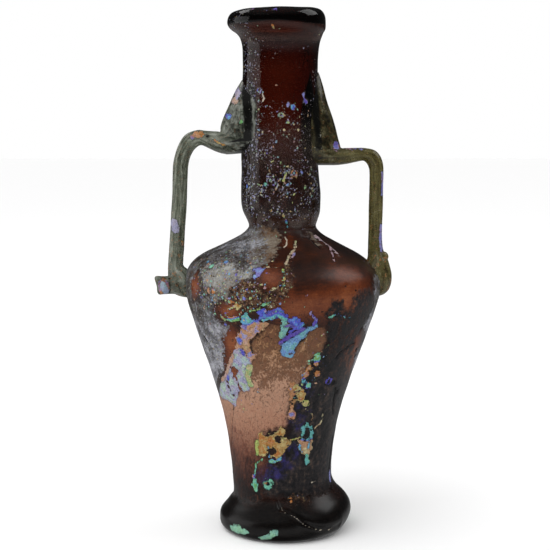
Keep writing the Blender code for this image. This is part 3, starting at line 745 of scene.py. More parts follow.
# Larger flecks of every colour
FLECKS = (
    (-42, 75, 26, 5, 0.9),
    (-20, 74, 16, 5, 1.0),
    (-28, 66, 12, 3, 0.8),
    (-46, 69, 11, 4, 0.9),
    (2, 103, 36, 9, 0.75),
    (6, 119, 40, 4, 0.7),
    (-34, 118, 12, 6, 0.6),
    (20, 48, 14, 9, 0.5),
    (-32, 46, 14, 7, 0.3),
    (160, 70, 40, 14, 0.5),
    (-165, 44, 40, 12, 0.4),
)


@dataclass
class VesselShape:
    """The blown vessel's sizes in millimetres and the lines that follow from them.

    Each wave of its hand-blown wall is (height, turns on the way round, radians up a millimetre, start).
    """

    foot_height: float = 13.5
    taper_height: float = 58.5
    shoulder_rise: float = 16.8
    neck_height: float = 53.2
    rim_height: float = 7.8
    rim_radius: float = 14.0
    neck_radius: float = 10.7
    neck_swell_radius: float = 11.3
    neck_root_radius: float = 9.5
    shoulder_radius: float = 28.1
    waist_radius: float = 14.4
    foot_radius: float = 19.3
    rest_outer_radius: float = 15.6
    rest_inner_radius: float = 12.0
    neck_swell_level: float = 8.0
    foot_widest_level: float = 4.6
    lip_thickness: float = 5.0
    lip_height: float = 6.6
    neck_wall: float = 3.2
    body_wall: float = 1.6
    kick_height: float = 6.0
    floor_thickness: float = 4.6
    floor_round: float = 4.0
    axis_x: float = 2.2
    outer_spacing: float = 0.52
    inner_spacing: float = 2.4
    front_columns: int = 150
    back_columns: int = 74
    front_reach: float = 78.0
    waves: tuple[Station, ...] = (
        (0.1, 2, 0.05, 0.0), (0.07, 3, -0.11, 1.0), (0.04, 7, 0.16, 2.0), (0.025, 1, 0.9, 0.0),
    )

    def __post_init__(self) -> None:
        """Works out the levels and the outline."""
        self.waist = self.foot_height
        self.shoulder = self.waist + self.taper_height
        self.root = self.shoulder + self.shoulder_rise
        self.rim = self.root + self.neck_height
        self.top = self.rim + self.rim_height
        self.lip = (self.rim_radius - self.lip_thickness / 2, self.top - self.lip_height / 2)
        self.lean = (
            (0.0, 0.2),
            (self.foot_widest_level, 1.0),
            (self.waist, 0.1),
            (between(self.waist, self.shoulder, 0.35), -0.3),
            (self.shoulder, 0.3),
            (between(self.shoulder, self.root, 0.45), -0.5),
            (self.root, -0.05),
            (self.root + self.neck_swell_level, -0.5),
            (between(self.root, self.rim, 0.5), -0.95),
            (self.rim, -0.5),
            (self.lip[1], -1.75),
        )
        self.tilt = (
            (0.0, 0.0),
            (self.foot_widest_level, 0.055),
            (between(self.foot_widest_level, self.waist, 0.55), 0.12),
            (self.waist, 0.19),
            (between(self.waist, self.shoulder, 0.3), 0.0),
            (self.rim, 0.0),
            (self.top, 0.03),
        )
        self.wall = self.wall_stations()
        self.outer = self.outer_line()
        self.outer_run = run_length(self.outer)
        self.crest = int(np.argmax(self.outer[:, 1]))

    def wall_stations(self) -> list[Pair]:
        """The outside's points.

        Returns:
            Each (radius, level), from under the lip down to the foot's widest ring.
        """
        half = (self.lip_thickness / 2, self.lip_height / 2)
        made = [arc(self.lip, half, -50, -50, 1)[0]]
        for rise, share in ((0.17, 0.52), (-0.02, 0.25), (-0.27, 0.09), (-0.75, 0.0)):
            radius = between(self.neck_radius, self.rim_radius, share)
            made.append((radius, self.rim + rise * self.rim_height))
        swell = self.root + self.neck_swell_level
        made.append((self.neck_radius, between(swell, self.rim, 0.6)))
        made.append((between(self.neck_radius, self.neck_swell_radius, 0.3), between(swell, self.rim, 0.2)))
        made.append((self.neck_swell_radius, swell))
        for rise, share in ((0.52, 0.78), (0.22, 0.28)):
            radius = between(self.neck_root_radius, self.neck_swell_radius, share)
            made.append((radius, self.root + rise * self.neck_swell_level))
        made.append((self.neck_root_radius, self.root))
        for rise, share in (
            (0.935, 0.03), (0.85, 0.115), (0.74, 0.29), (0.619, 0.505), (0.515, 0.69), (0.4, 0.835),
            (0.28, 0.93), (0.15, 0.983),
        ):
            radius = between(self.neck_root_radius, self.shoulder_radius, share)
            made.append((radius, self.shoulder + rise * self.shoulder_rise))
        made.append((self.shoulder_radius, self.shoulder))
        for rise, share in (
            (0.95, 0.98), (0.88, 0.9), (0.79, 0.775), (0.70, 0.65), (0.60, 0.5), (0.50, 0.365), (0.40, 0.24),
            (0.30, 0.14), (0.20, 0.07), (0.10, 0.02),
        ):
            radius = between(self.waist_radius, self.shoulder_radius, share)
            made.append((radius, self.waist + rise * self.taper_height))
        made.append((self.waist_radius, self.waist))
        for rise, share in (
            (0.87, 0.045), (0.76, 0.14), (0.66, 0.27), (0.55, 0.43), (0.44, 0.61), (0.32, 0.79), (0.17, 0.95),
        ):
            radius = between(self.waist_radius, self.foot_radius, share)
            made.append((radius, between(self.foot_widest_level, self.waist, rise)))
        made.append((self.foot_radius, self.foot_widest_level))
        return made

    def outer_line(self) -> np.ndarray:
        """The smooth outside.

        Returns:
            Each (radius, level), from the resting ring up and over the lip into the throat.
        """
        width = self.foot_radius - self.rest_outer_radius
        height = self.foot_widest_level
        edge = arc((self.rest_outer_radius, height), (width, height), -90, 0, 4)
        lip = arc(self.lip, (self.lip_thickness / 2, self.lip_height / 2), -30, 205, 10)
        return smooth_line(edge[:-1] + self.wall[::-1] + lip, self.outer_spacing)

    def inner_line(self) -> np.ndarray:
        """The smooth inside.

        Returns:
            Each (radius, level), from the throat down to the middle of the floor.
        """
        line = np.array(self.wall)
        along = slopes(line)
        wall = eased(((self.shoulder, self.body_wall), (self.root, self.neck_wall)), line[:, 1])
        inner = line + np.column_stack([along[:, 1], -along[:, 0]]) * wall[:, None]
        floor = self.kick_height + self.floor_thickness
        keep = (inner[:, 1] > floor + self.floor_round) & (inner[:, 1] < self.top - self.lip_height)
        side = inner[keep][::2]
        foot = side[-1][0]
        bowl = [(0.95, 0.55), (0.78, 0.16), (0.45, 0.0), (0.0, 0.12)]
        bottom = [(share * foot, floor + rise * self.floor_round) for share, rise in bowl]
        start = [tuple(self.outer[-1])]
        return smooth_line(start + [tuple(p) for p in side] + bottom, self.inner_spacing)[1:]

    def section(self) -> tuple[np.ndarray, int, int]:
        """The whole section.

        Returns:
            Each (radius, level) from the underside's middle to the floor's, and the rows where its outside
            starts and ends.
        """
        kick = np.array(arc((0.0, 0.0), (self.rest_inner_radius, self.kick_height), 90, 0, 8))
        ring = np.array([(between(self.rest_inner_radius, self.rest_outer_radius, 0.5), 0.0)])
        under = np.vstack([kick, ring])
        line = np.vstack([under, self.outer, self.inner_line()])
        return line, len(under), len(under) + len(self.outer)

    def columns(self) -> np.ndarray:
        """Lays out the mesh's columns, close together in front and wider behind.

        Returns:
            Their angles in degrees from the front.
        """
        front = np.linspace(-self.front_reach, self.front_reach, self.front_columns, endpoint=False)
        behind = np.linspace(self.front_reach, 360 - self.front_reach, self.back_columns, endpoint=False)
        return np.concatenate([front, behind])

    def radius_at(self, level: np.ndarray | float) -> np.ndarray:
        """The outer radius at a level."""
        return np.interp(level, self.outer[: self.crest + 1, 1], self.outer[: self.crest + 1, 0])

    def run_at(self, level: np.ndarray | float) -> np.ndarray:
        """How far along the outside a level is, from the resting ring."""
        return np.interp(level, self.outer[: self.crest + 1, 1], self.outer_run[: self.crest + 1])

    def undulation(self, angle: np.ndarray, level: np.ndarray) -> np.ndarray:
        """How unevenly the wall was blown.

        Args:
            angle: Each point's degrees from the front.
            level: Each point's level.

        Returns:
            How far the wall stands proud of a true turned one.
        """
        turn = np.radians(angle)
        proud = np.zeros(len(angle))
        for height, turns, up, start in self.waves:
            proud += height * np.sin(turns * turn + up * level + start)
        return proud * np.clip(level / self.foot_widest_level, 0, 1)

    def place(self, angle: np.ndarray, radius: np.ndarray, level: np.ndarray) -> np.ndarray:
        """Turns places on the true turned shape to the world, leant as the vessel leans.

        Args:
            angle: Each place's degrees from the front.
            radius: Its radius in millimetres.
            level: Its level in millimetres.

        Returns:
            The points in metres, one to a row.
        """
        turn = np.radians(angle)
        x = radius * np.sin(turn)
        y = -radius * np.cos(turn)
        z = level + eased(self.tilt, level) * x
        return np.column_stack([self.axis_x + x + eased(self.lean, level), y, z]) * MM


class Painting:
    """Depths in the marks, and their hues, gathered for a set of points."""

    margin = 4.0
    blended = (-2.0, 1.5)
    blending = 0.22
    hued = (Layer.FLAKE, Layer.THREAD)

    def __init__(self, count: int) -> None:
        """Starts with no marks.

        Args:
            count: How many points there are.
        """
        self.values = {layer: np.full(count, -self.margin) for layer in Layer}
        self.weights = {layer: np.full(count, 1e-9) for layer in self.hued}
        self.looks = {layer: np.zeros((len(HUE_PARTS), count)) for layer in self.hued}

    @staticmethod
    def depth_in(mark: Mark, points: np.ndarray, drawn: np.ndarray) -> np.ndarray:
        """How deep points lie in a mark.

        Args:
            mark: The mark.
            points: The points on the flat, one to a row.
            drawn: The mark's own points on the flat.

        Returns:
            The depths in millimetres, below zero outside the mark.
        """
        if mark.form is Form.AREA:
            return area_depth(points, drawn)
        if mark.form is Form.LINE:
            return mark.size[0] - line_distance(points, drawn)
        depths = np.full(len(points), -Painting.margin)
        for spot in drawn:
            offset = points - spot
            if mark.form is Form.RING:
                depth = mark.size[1] - np.abs(np.linalg.norm(offset, axis=1) - mark.size[0])
            else:
                depth = (1 - np.linalg.norm(offset / np.array(mark.size), axis=1)) * min(mark.size)
            depths = np.maximum(depths, depth)
        return depths

    def add(self, mark: Mark, near: np.ndarray, depth: np.ndarray) -> None:
        """Adds one mark at the points near it.

        Args:
            mark: The mark.
            near: Those points' numbers.
            depth: How deep each of them lies in the mark.
        """
        value = self.values[mark.layer]
        if mark.cut:
            value[near] = np.minimum(value[near], -depth)
            return
        value[near] = np.maximum(value[near], depth)
        if mark.hue is not None:
            weight = np.exp(np.clip(depth, *self.blended) / self.blending)
            self.weights[mark.layer][near] += weight
            for total, amount in zip(self.looks[mark.layer], (mark.hue.value, mark.play, mark.pallor)):
                total[near] += weight * amount

    def attributes(self) -> dict[str, np.ndarray]:
        """Gathers what the materials read.

        Returns:
            Every point's values, by attribute name.
        """
        made = {layer.value: values for layer, values in self.values.items()}
        for layer in self.hued:
            for part, total in zip(HUE_PARTS, self.looks[layer]):
                made[layer.value + part] = total / self.weights[layer]
        return made


class Weathering(Painting):
    """Turns the marks on the vessel to values for every point of its outside. Sizes are in millimetres."""

    flake_height = 0.07
    film_height = 0.05
    fold_height = 0.55
    fold_width = 0.75
    crease_depth = 0.45
    crease_width = 0.32
    crease_lip_height = 0.22
    crease_lip_place = 1.1
    crease_lip_width = 0.9
    pit_depth = 0.2
    pit_width = 0.3

    def __init__(
        self, shape: VesselShape, angle: np.ndarray, level: np.ndarray, run: np.ndarray, radius: np.ndarray
    ) -> None:
        """Keeps the points.

        Args:
            shape: The vessel's shape.
            angle: Each point's degrees from the front.
            level: Each point's level.
            run: Each point's way along the outside.
            radius: Each point's radius.
        """
        super().__init__(len(angle))
        self.shape = shape
        self.angle = angle
        self.level = level
        self.run = run
        self.radius = radius

    def draw(self, marks: Sequence[Mark]) -> None:
        """Draws marks in order, with their echoes on the back.

        Args:
            marks: The marks, whose cuts take away what came before them.
        """
        for mark in marks:
            given = np.array(mark.points, float)
            middle = given[:, 0].mean()
            places = [(middle, 1)]
            if mark.echo is not None:
                places.append((mark.echo, -1))
            for centre, sense in places:
                turn = np.radians(given[:, 0] - middle) * sense
                across = turn * self.shape.radius_at(given[:, 1])
                drawn = np.column_stack([across, self.shape.run_at(given[:, 1])])
                away = (self.angle - centre + 180) % 360 - 180
                flat = np.column_stack([np.radians(away) * self.radius, self.run])
                reach = self.margin + max(mark.size)
                low, high = drawn.min(0) - reach, drawn.max(0) + reach
                near = np.flatnonzero(((flat >= low) & (flat <= high)).all(1))
                self.add(mark, near, self.depth_in(mark, flat[near], drawn))

    def spread(self, spots: Sequence[Sequence[float]]) -> np.ndarray:
        """Spreads soft spots.

        Args:
            spots: Each one's angle, level, reach in degrees, reach in millimetres and strength.

        Returns:
            How strongly they reach each point, from 0 to 1.
        """
        total = np.zeros(len(self.angle))
        for angle, level, wide, high, strength in spots:
            away = (self.angle - angle + 180) % 360 - 180
            total += strength * np.exp(-((away / wide) ** 2) - ((self.level - level) / high) ** 2)
        return np.clip(total, 0, 1)

    def relief(self) -> np.ndarray:
        """Gives the marks their thickness.

        Returns:
            How far each point stands proud of the glass, below zero where it lies in it.
        """
        lifted = self.flake_height * np.clip(self.values[Layer.FLAKE] / 0.3 + 0.5, 0, 1)
        crusted = self.film_height * np.clip(self.values[Layer.FILM] / 0.6 + 0.5, 0, 1)
        fold = self.fold_height * np.exp(-(((0.5 - self.values[Layer.FOLD]) / self.fold_width) ** 2))
        away = 0.5 - self.values[Layer.CREASE]
        crease = -self.crease_depth * np.exp(-((away / self.crease_width) ** 2))
        beside = (away - self.crease_lip_place) / self.crease_lip_width
        lip = self.crease_lip_height * np.exp(-(beside**2))
        outside_pit = np.clip(-self.values[Layer.DARK], 0, None)
        pit = -self.pit_depth * np.exp(-((outside_pit / self.pit_width) ** 2))
        return lifted + crusted + fold + (crease + lip) + pit

    def attributes(self) -> dict[str, np.ndarray]:
        """Every value that the materials read, by attribute name."""
        scattered = {"glow": PAINTED_GLOWS, "dusting": DUSTINGS, "flecks": FLECKS}
        return super().attributes() | {name: self.spread(spots) for name, spots in scattered.items()}


class Coats:
    """Layers laid over one another on one glass shader."""

    def __init__(self, name: str, colour: Colour, roughness: float, clear: float) -> None:
        """Starts with the bare surface.

        Args:
            name: The material's name.
            colour: The bare surface's colour.
            roughness: Its roughness.
            clear: How much light it lets through, from 0 to 1.
        """
        self.material = bpy.data.materials.new(name)
        self.material.use_nodes = True
        self.tree = self.material.node_tree
        self.tree.nodes.clear()
        self.place = add_node(self.tree, "ShaderNodeTexCoord").outputs["Object"]
        self.colour = colour
        self.roughness: Number = roughness
        self.metallic: Number = 0.0
        self.clear: Number = clear
        self.height: Number = 0.0
        self.outside: Number = 1.0

    def noise(self, size_mm: float, detail: float = 2.0, **settings: object) -> Signal:
        """A soft noise from 0 to 1.

        Args:
            size_mm: About how wide its lumps are.
            detail: How many finer noises are added to it.
            **settings: Inputs of the node by name, and vector for other places than the object's own.

        Returns:
            The noise.
        """
        links = {"Vector": settings.pop("vector", self.place), "Scale": per_metre(size_mm), "Detail": detail}
        return Signal(self.tree, add_node(self.tree, "ShaderNodeTexNoise", links | settings).outputs[0])

    def pulled(self, size_mm: float, reach_mm: float) -> bpy.types.NodeSocket:
        """Moves the places about by a noise, so that what is drawn by them gets ragged.

        Args:
            size_mm: About how wide the noise's lumps are.
            reach_mm: How far it moves them.

        Returns:
            The places.
        """
        links = {"Vector": self.place, "Scale": per_metre(size_mm), "Detail": 2.0}
        ragged = add_node(self.tree, "ShaderNodeTexNoise", links).outputs["Color"]
        links = {0: ragged, 1: (reach_mm * MM,) * 3, 2: self.place}
        return add_node(self.tree, "ShaderNodeVectorMath", links, operation="MULTIPLY_ADD").outputs[0]

    def stretched(self, across: float, upward: float) -> bpy.types.NodeSocket:
        """The places scaled, so that a noise on them gets longer where the scale is under one."""
        links = {0: self.place, 1: (across, across, upward)}
        return add_node(self.tree, "ShaderNodeVectorMath", links, operation="MULTIPLY").outputs[0]

    def cells(self, place: bpy.types.NodeSocket, size_mm: float) -> tuple[list[Signal], Signal]:
        """Cells about size_mm wide.

        Args:
            place: The places that the cells are laid out on.
            size_mm: The distance from one cell to the next.

        Returns:
            Three numbers from 0 to 1 that differ from cell to cell, and the distance to the cell's middle.
        """
        cells = add_node(self.tree, "ShaderNodeTexVoronoi", {"Vector": place, "Scale": per_metre(size_mm)})
        parts = add_node(self.tree, "ShaderNodeSeparateColor", {0: cells.outputs["Color"]}).outputs
        return [Signal(self.tree, part) for part in parts], Signal(self.tree, cells.outputs["Distance"])

    def read(self, name: str) -> Signal:
        """A value from the mesh."""
        node = add_node(self.tree, "ShaderNodeAttribute", attribute_name=name)
        return Signal(self.tree, node.outputs["Fac"])

    def step(self, value: Number, low: float, high: float) -> Signal:
        """A smooth step.

        Args:
            value: What it is taken of.
            low: The value where the step is 0, which may also be the higher of the two.
            high: The value where it is 1.

        Returns:
            The step, from 0 to 1.
        """
        links = {"Value": value, "From Min": low, "From Max": high}
        step = add_node(self.tree, "ShaderNodeMapRange", links, interpolation_type="SMOOTHSTEP")
        return Signal(self.tree, step.outputs[0])

    def ramp(self, value: Number, stops: Stops) -> bpy.types.NodeSocket:
        """A colour read from a row of stops."""
        return add_node(self.tree, "ShaderNodeValToRGB", {"Fac": value}, stops=stops).outputs[0]

    def mask(self, name: str, noise: Signal, wander: float, soft: float) -> Signal:
        """Where a layer lies, with an edge that wanders.

        Args:
            name: The mesh attribute that holds the depth in millimetres.
            noise: The noise that moves the edge.
            wander: How far it moves it either way, in millimetres.
            soft: Half the width over which the edge fades, in millimetres.

        Returns:
            The mask, from 0 to 1.
        """
        return self.step(noise * (2 * wander) + self.read(name), wander - soft, wander + soft)

    def blend(self, mask: Number, under: Number, over: Number) -> Signal:
        """A number that goes from under to over by the mask."""
        node = add_node(self.tree, "ShaderNodeMix", {0: mask, 2: under, 3: over})
        return Signal(self.tree, node.outputs[0])

    def tint(self, mask: Number, under: Colour, over: Colour, mode: str = "MIX") -> bpy.types.NodeSocket:
        """A colour that goes from under to over by the mask."""
        links = {0: mask, 6: under, 7: over}
        return add_node(self.tree, "ShaderNodeMix", links, data_type="RGBA", blend_type=mode).outputs[2]

    def lay(
        self,
        mask: Signal,
        colour: Colour,
        roughness: float,
        metallic: float = 0.0,
        clear: float = 0.0,
        height: Number = 0.0,
    ) -> None:
        """Lays one layer over the rest.

        Args:
            mask: Where it lies, from 0 to 1.
            colour: Its colour.
            roughness: Its roughness.
            metallic: How metallic it is.
            clear: How much light it lets through.
            height: How thick it is, in millimetres, as a number or as a signal.
        """
        mask = mask * self.outside
        self.colour = self.tint(mask, self.colour, colour)
        self.roughness = self.blend(mask, self.roughness, roughness)
        self.metallic = self.blend(mask, self.metallic, metallic)
        self.clear = self.blend(mask, self.clear, clear)
        self.height = self.blend(mask, self.height, height)

    def finish(self, grain: Signal, rough: Number, absorbed: str, density: float) -> bpy.types.Material:
        """Puts the layers on the shader.

        Args:
            grain: A fine noise that roughens the surface.
            rough: How high the noise stands, in millimetres.
            absorbed: The colour that the glass keeps of white light, as sRGB hex.
            density: How strongly it absorbs the rest, per metre.

        Returns:
            The material.
        """
        links = {"Height": grain * rough + self.height, "Distance": MM, "Strength": BUMP_STRENGTH}
        bump = add_node(self.tree, "ShaderNodeBump", links)
        links = {
            "Base Color": self.colour,
            "Roughness": self.roughness,
            "Metallic": self.metallic,
            "IOR": GLASS_IOR,
            "Transmission Weight": self.clear,
            "Normal": bump.outputs[0],
        }
        shader = add_node(self.tree, "ShaderNodeBsdfPrincipled", links)
        inside = {"Color": srgb(absorbed), "Density": density}
        volume = add_node(self.tree, "ShaderNodeVolumeAbsorption", inside)
        ends = {"Surface": shader.outputs[0], "Volume": volume.outputs[0]}
        add_node(self.tree, "ShaderNodeOutputMaterial", ends)
        return self.material


@dataclass(frozen=True)
class LiftedFlake:
    """Thin layers of weathered glass, whose colours come from light between them: bright, opaque, satin, each
    over a painted shadow round its edge.
    """

    fade: float = 0.08
    patch: float = 1.3
    pit: float = 1.5
    # How far outside the flake's edge the painted shadow starts, and where it is whole
    margins: Pair = (0.34, 0.1)
    pale: str = "#C9C4C0"
    shades: Stops = ((0.34, "#5C5656"), (0.46, "#DADADA"), (0.6, "#FFFFFF"))
    # The colour of the painted shadow round each flake
    edge_shadow: str = "#120B08"

    def patches(self, coats: Coats) -> Signal:
        """Ragged patches about as big as the flakes' own layers, each with a number from 0 to 1."""
        parts, _ = coats.cells(coats.pulled(self.patch * 0.6, self.patch * 0.8), self.patch)
        return parts[0] * 0.5 + coats.noise(1.9, detail=3.0, Roughness=0.7) * 0.5

    def colour(
        self, coats: Coats, hue: Signal, play: Number, pallor: Number, shift: Number, grain: Signal
    ) -> bpy.types.NodeSocket:
        """The flake's colour.

        Args:
            coats: The layers that it is for.
            hue: Its place on the spectrum.
            play: How far the hue plays either way.
            pallor: How pale it is, from 0 to 1.
            shift: A number from 0 to 1 that moves the hue.
            grain: A fine noise that dims it in places.

        Returns:
            The colour.
        """
        place = (hue + (shift * 2.4 - 1.2) * play).wrapped()
        spectrum = coats.ramp(place, tuple((hue.value, code) for hue, code in SPECTRUM))
        paled = coats.step(grain, 0.55, 0.66) * 0.4 + pallor
        paler = coats.tint(paled, spectrum, srgb(self.pale))
        return coats.tint(0.8, paler, coats.ramp(grain, self.shades), "MULTIPLY")

    def lay(
        self,
        coats: Coats,
        name: str,
        wander: float,
        border: float,
        noise: Signal,
        shift: Signal,
        grain: Signal,
    ) -> None:
        """Lays one kind of flake, which shows other colours along its edge, over a painted shadow just
        outside that edge.

        Args:
            coats: The layers.
            name: The mesh attribute that holds its depth.
            wander: How far its edge wanders, in millimetres.
            border: How far the hue moves along the edge.
            noise: The noise that moves the edge.
            shift: A number from 0 to 1 that moves the hue.
            grain: A fine noise that dims it in places.
        """
        wide, narrow = self.margins
        moved = noise * (2 * wander) + coats.read(name) - coats.step(grain, 0.59, 0.66) * self.pit
        # Painted shadow: a dark band round the flake's edge, as if the flake stood up and shaded the glass
        # beside it
        edge_shadow = coats.step(moved, wander - wide, wander - narrow)
        coats.lay(edge_shadow * 0.35, srgb(self.edge_shadow), roughness=0.2, clear=0.9)
        rim = coats.step(moved, wander + wide, wander + narrow) * coats.step(shift, 0.4, 0.55)
        read = [coats.read(name + part) for part in HUE_PARTS]
        colour = self.colour(coats, *read, shift - rim * border, grain)
        mask = coats.step(moved, wander - self.fade, wander + self.fade)
        coats.lay(mask, colour, roughness=0.36, metallic=0.2, height=0.09)


@dataclass(frozen=True)
class Specks:
    """Small ragged specks of weathered glass scattered over a surface."""

    spacing: float
    share: float
    colours: Stops = ()
    growth: float = 0.3
    least: float = 0.14

    def lay(self, coats: Coats, density: Signal, flake: LiftedFlake, grain: Signal) -> None:
        """Lays the specks.

        Args:
            coats: The layers.
            density: How thickly they lie, from 0 to 1.
            flake: What gives specks without colours of their own the colours of the spectrum.
            grain: A fine noise that dims them in places.
        """
        pulled = coats.pulled(self.spacing * 0.5, self.spacing * 1.1)
        (chance, tone, girth), distance = coats.cells(pulled, self.spacing)
        edge = girth * self.growth + self.least - distance
        mask = (chance < density * self.share) * coats.step(edge, -0.05, 0.06)
        if self.colours:
            colour = coats.ramp(tone, self.colours)
        else:
            colour = flake.colour(coats, tone, play=0.1, pallor=0.15, shift=0.5, grain=grain)
        coats.lay(mask, colour, roughness=0.4, metallic=0.2, height=0.06)


@dataclass(frozen=True)
class WeatheredAubergineGlass:
    """Blown soda glass coloured by manganese: glossy and brown-red in thin light, under lifting films.

    Each pair of levels is where a layer starts to show and where it is whole, in millimetres.
    """

    name: str = "aubergine_glass"
    absorbed: str = "#C48A42"
    density: float = 1050.0
    clean: str = "#EFE0D6"
    throat: str = "#9A7466"
    throat_levels: Pair = (132.0, 139.5)
    collar: str = "#5E362C"
    collar_levels: Pair = (140.0, 142.5)
    lip: str = "#7A6660"
    lip_levels: Pair = (145.1, 145.8)
    veil: str = "#5C3C30"
    veil_levels: Pair = (134.0, 116.0)
    # The bare glass, from its own dark brown up to a painted orange glow of light shining through it
    bare: Stops = ((0.0, "#1A0B07"), (0.3, "#3A190B"), (0.6, "#6C3010"), (1.0, "#9A5428"))
    bare_levels: Pair = (94.0, 87.0)
    skin: Stops = (
        (0.0, "#160907"), (0.14, "#3C1A10"), (0.28, "#6E3E2B"), (0.42, "#A6765C"), (0.62, "#B68C72"),
        (0.8, "#A2764E"), (1.0, "#865630"),
    )
    skin_levels: Pair = (12.0, 65.0)
    stains: Stops = ((0.4, "#34190D"), (0.56, "#6A4028"))
    stain_levels: Pair = (34.0, 56.0)
    charred: Stops = (
        (0.38, "#040406"), (0.47, "#100E12"), (0.54, "#211C1D"), (0.62, "#43352D"), (0.72, "#62503F"),
    )
    char_levels: Pair = (38.0, 62.0)
    film: Stops = (
        (0.4, "#140E0B"), (0.45, "#3C342F"), (0.5, "#5C5857"), (0.55, "#75767B"), (0.62, "#A2A2AA"),
    )
    film_levels: Pair = (68.0, 60.0)
    haze: Stops = ((0.42, "#3E2C22"), (0.48, "#665A50"), (0.55, "#7E7B76"), (0.66, "#9A9A96"))
    haze_levels: Pair = (70.0, 78.5)
    tan: Stops = ((0.38, "#2E1C11"), (0.45, "#5F432C"), (0.52, "#6B5F52"), (0.62, "#8C8375"))
    crust: Stops = ((0.38, "#120906"), (0.47, "#43240F"), (0.55, "#66452A"), (0.66, "#928A6C"))
    foot: Stops = ((0.4, "#040303"), (0.66, "#120D0B"))
    foot_levels: Pair = (20.0, 12.0)
    silver: Stops = (
        (0.0, "#3A3842"), (0.25, "#5C6074"), (0.45, "#8C8CA0"), (0.6, "#6E72A8"), (0.75, "#B2AC98"),
        (0.88, "#6C9A80"), (1.0, "#B08A4C"),
    )
    glitter: Stops = (
        (0.0, "#0C0706"), (0.24, "#5A4222"), (0.4, "#B09C68"), (0.52, "#7E9A66"), (0.64, "#D2CCB4"),
        (0.76, "#7EA2B4"), (0.88, "#8C8AB8"), (1.0, "#B0683A"),
    )
    bloom: str = "#2A2468"
    dark: str = "#080606"
    pale: str = "#A99F8E"

    def make(self) -> bpy.types.Material:
        """Builds the material.

        Returns:
            The material.
        """
        coats = Coats(self.name, srgb(self.clean), roughness=0.05, clear=1.0)
        coats.outside = coats.read("outside")
        flake = LiftedFlake()
        edge = coats.noise(1.1, detail=5.0, Roughness=0.7)
        grain = coats.noise(0.5, detail=3.0, Roughness=0.85)
        blotch = coats.noise(3.6, detail=6.0, Roughness=0.72)
        (chips, _, _), _ = coats.cells(coats.place, 0.9)
        ragged = chips * 0.35 + edge * 0.65
        height = add_node(coats.tree, "ShaderNodeSeparateXYZ", {0: coats.place}).outputs[2]
        level = Signal(coats.tree, height) * (1 / MM)
        self.lay_clear(coats, blotch, level)
        self.lay_bare_and_glow(coats, grain, blotch, level)
        self.lay_skin(coats, edge, grain, blotch, level)
        self.lay_char(coats, edge, blotch, level)
        self.lay_films(coats, flake, (edge, grain, blotch, ragged), level)
        self.lay_flakes(coats, flake, edge, grain, ragged)
        rough = coats.blend(coats.step(level, 96.0, 88.0), 0.003, 0.03)
        return coats.finish(grain, rough, self.absorbed, self.density)

    def lay_clear(self, coats: Coats, blotch: Signal, level: Signal) -> None:
        """Shades the clear glass: its throat, collar and lip, and the neck's lower part.

        Args:
            coats: The layers.
            blotch: A noise with lumps of a few millimetres.
            level: The height in millimetres, as in the methods below.
        """
        coats.lay(coats.step(level, *self.throat_levels), srgb(self.throat), roughness=0.05, clear=1.0)
        coats.lay(coats.step(level, *self.collar_levels), srgb(self.collar), roughness=0.1, clear=0.84)
        coats.lay(coats.step(level, *self.lip_levels), srgb(self.lip), roughness=0.04, clear=1.0)
        low = coats.step(blotch * 24.0 + level, *self.veil_levels)
        patchy = coats.step(blotch, 0.4, 0.56) * 0.35 + 0.65
        coats.lay(low * patchy, srgb(self.veil), roughness=0.08, clear=0.94)

    def lay_bare_and_glow(self, coats: Coats, grain: Signal, blotch: Signal, level: Signal) -> None:
        """Lays the body's bare glass with a painted glow, brightest where light would come through, and the
        soot on it.

        Args:
            coats: The layers.
            grain: A fine noise.
            blotch: A noise with lumps of a few millimetres.
            level: The height in millimetres.
        """
        cloud = coats.noise(11.0, detail=5.0, Roughness=0.6)
        lines = coats.noise(2.4, detail=2.0, vector=coats.stretched(1.0, 6.0))
        glow = cloud * 0.6 + coats.read("glow") - 0.22
        glow = glow + (grain * 0.5 + blotch * 0.5 - 0.5) * 1.3 + (lines - 0.5) * 0.3
        below_neck = coats.step(level, *self.bare_levels)
        # Painted glow: where the glow spots and noises are high, the bare glass is painted bright, as if
        # light shone through
        coats.lay(below_neck, coats.ramp(glow, self.bare), roughness=0.3, clear=0.3)
        sooty = blotch - coats.step(level, 68.0, 76.0) * 0.12
        soot = below_neck * coats.step(sooty, 0.57, 0.64)
        coats.lay(soot * 0.75, srgb(self.dark), roughness=0.4, clear=0.05, height=0.02)

    def lay_skin(self, coats: Coats, edge: Signal, grain: Signal, blotch: Signal, level: Signal) -> None:
        """Lays the matt brown skin of the front, with its stains and its pits.

        Args:
            coats: The layers.
            edge: A noise with lumps of about a millimetre.
            grain: A fine noise.
            blotch: A noise with lumps of a few millimetres.
            level: The height in millimetres.
        """
        uneven = (blotch - 0.5) * 22.0 + level
        bottom, top = self.skin_levels
        climb = {"Value": uneven, "From Min": bottom, "From Max": top}
        climb = Signal(coats.tree, add_node(coats.tree, "ShaderNodeMapRange", climb).outputs[0])
        skin = coats.mask("skin", edge * 0.5 + blotch * 0.5, wander=4.0, soft=0.9)
        upward = coats.stretched(1.0, 0.5)
        fibres = coats.noise(1.1, detail=4.0, vector=upward, Roughness=0.75, Distortion=1.2)
        colour = coats.ramp((fibres - 0.5) * 0.5 + climb, self.skin)
        coats.lay(skin, colour, roughness=0.4, clear=0.08, height=fibres * 0.5)
        thick = fibres * 0.5 + grain * 0.2 + blotch * 0.4 + coats.step(level, *self.stain_levels) * 0.13
        stain = skin * coats.step(thick, 0.59, 0.68)
        coats.lay(stain * 0.8, coats.ramp(fibres, self.stains), roughness=0.5, clear=0.05, height=0.05)
        pits = skin * coats.step(grain, 0.6, 0.67)
        coats.lay(pits * 0.8, srgb(self.stains[0][1]), roughness=0.5)

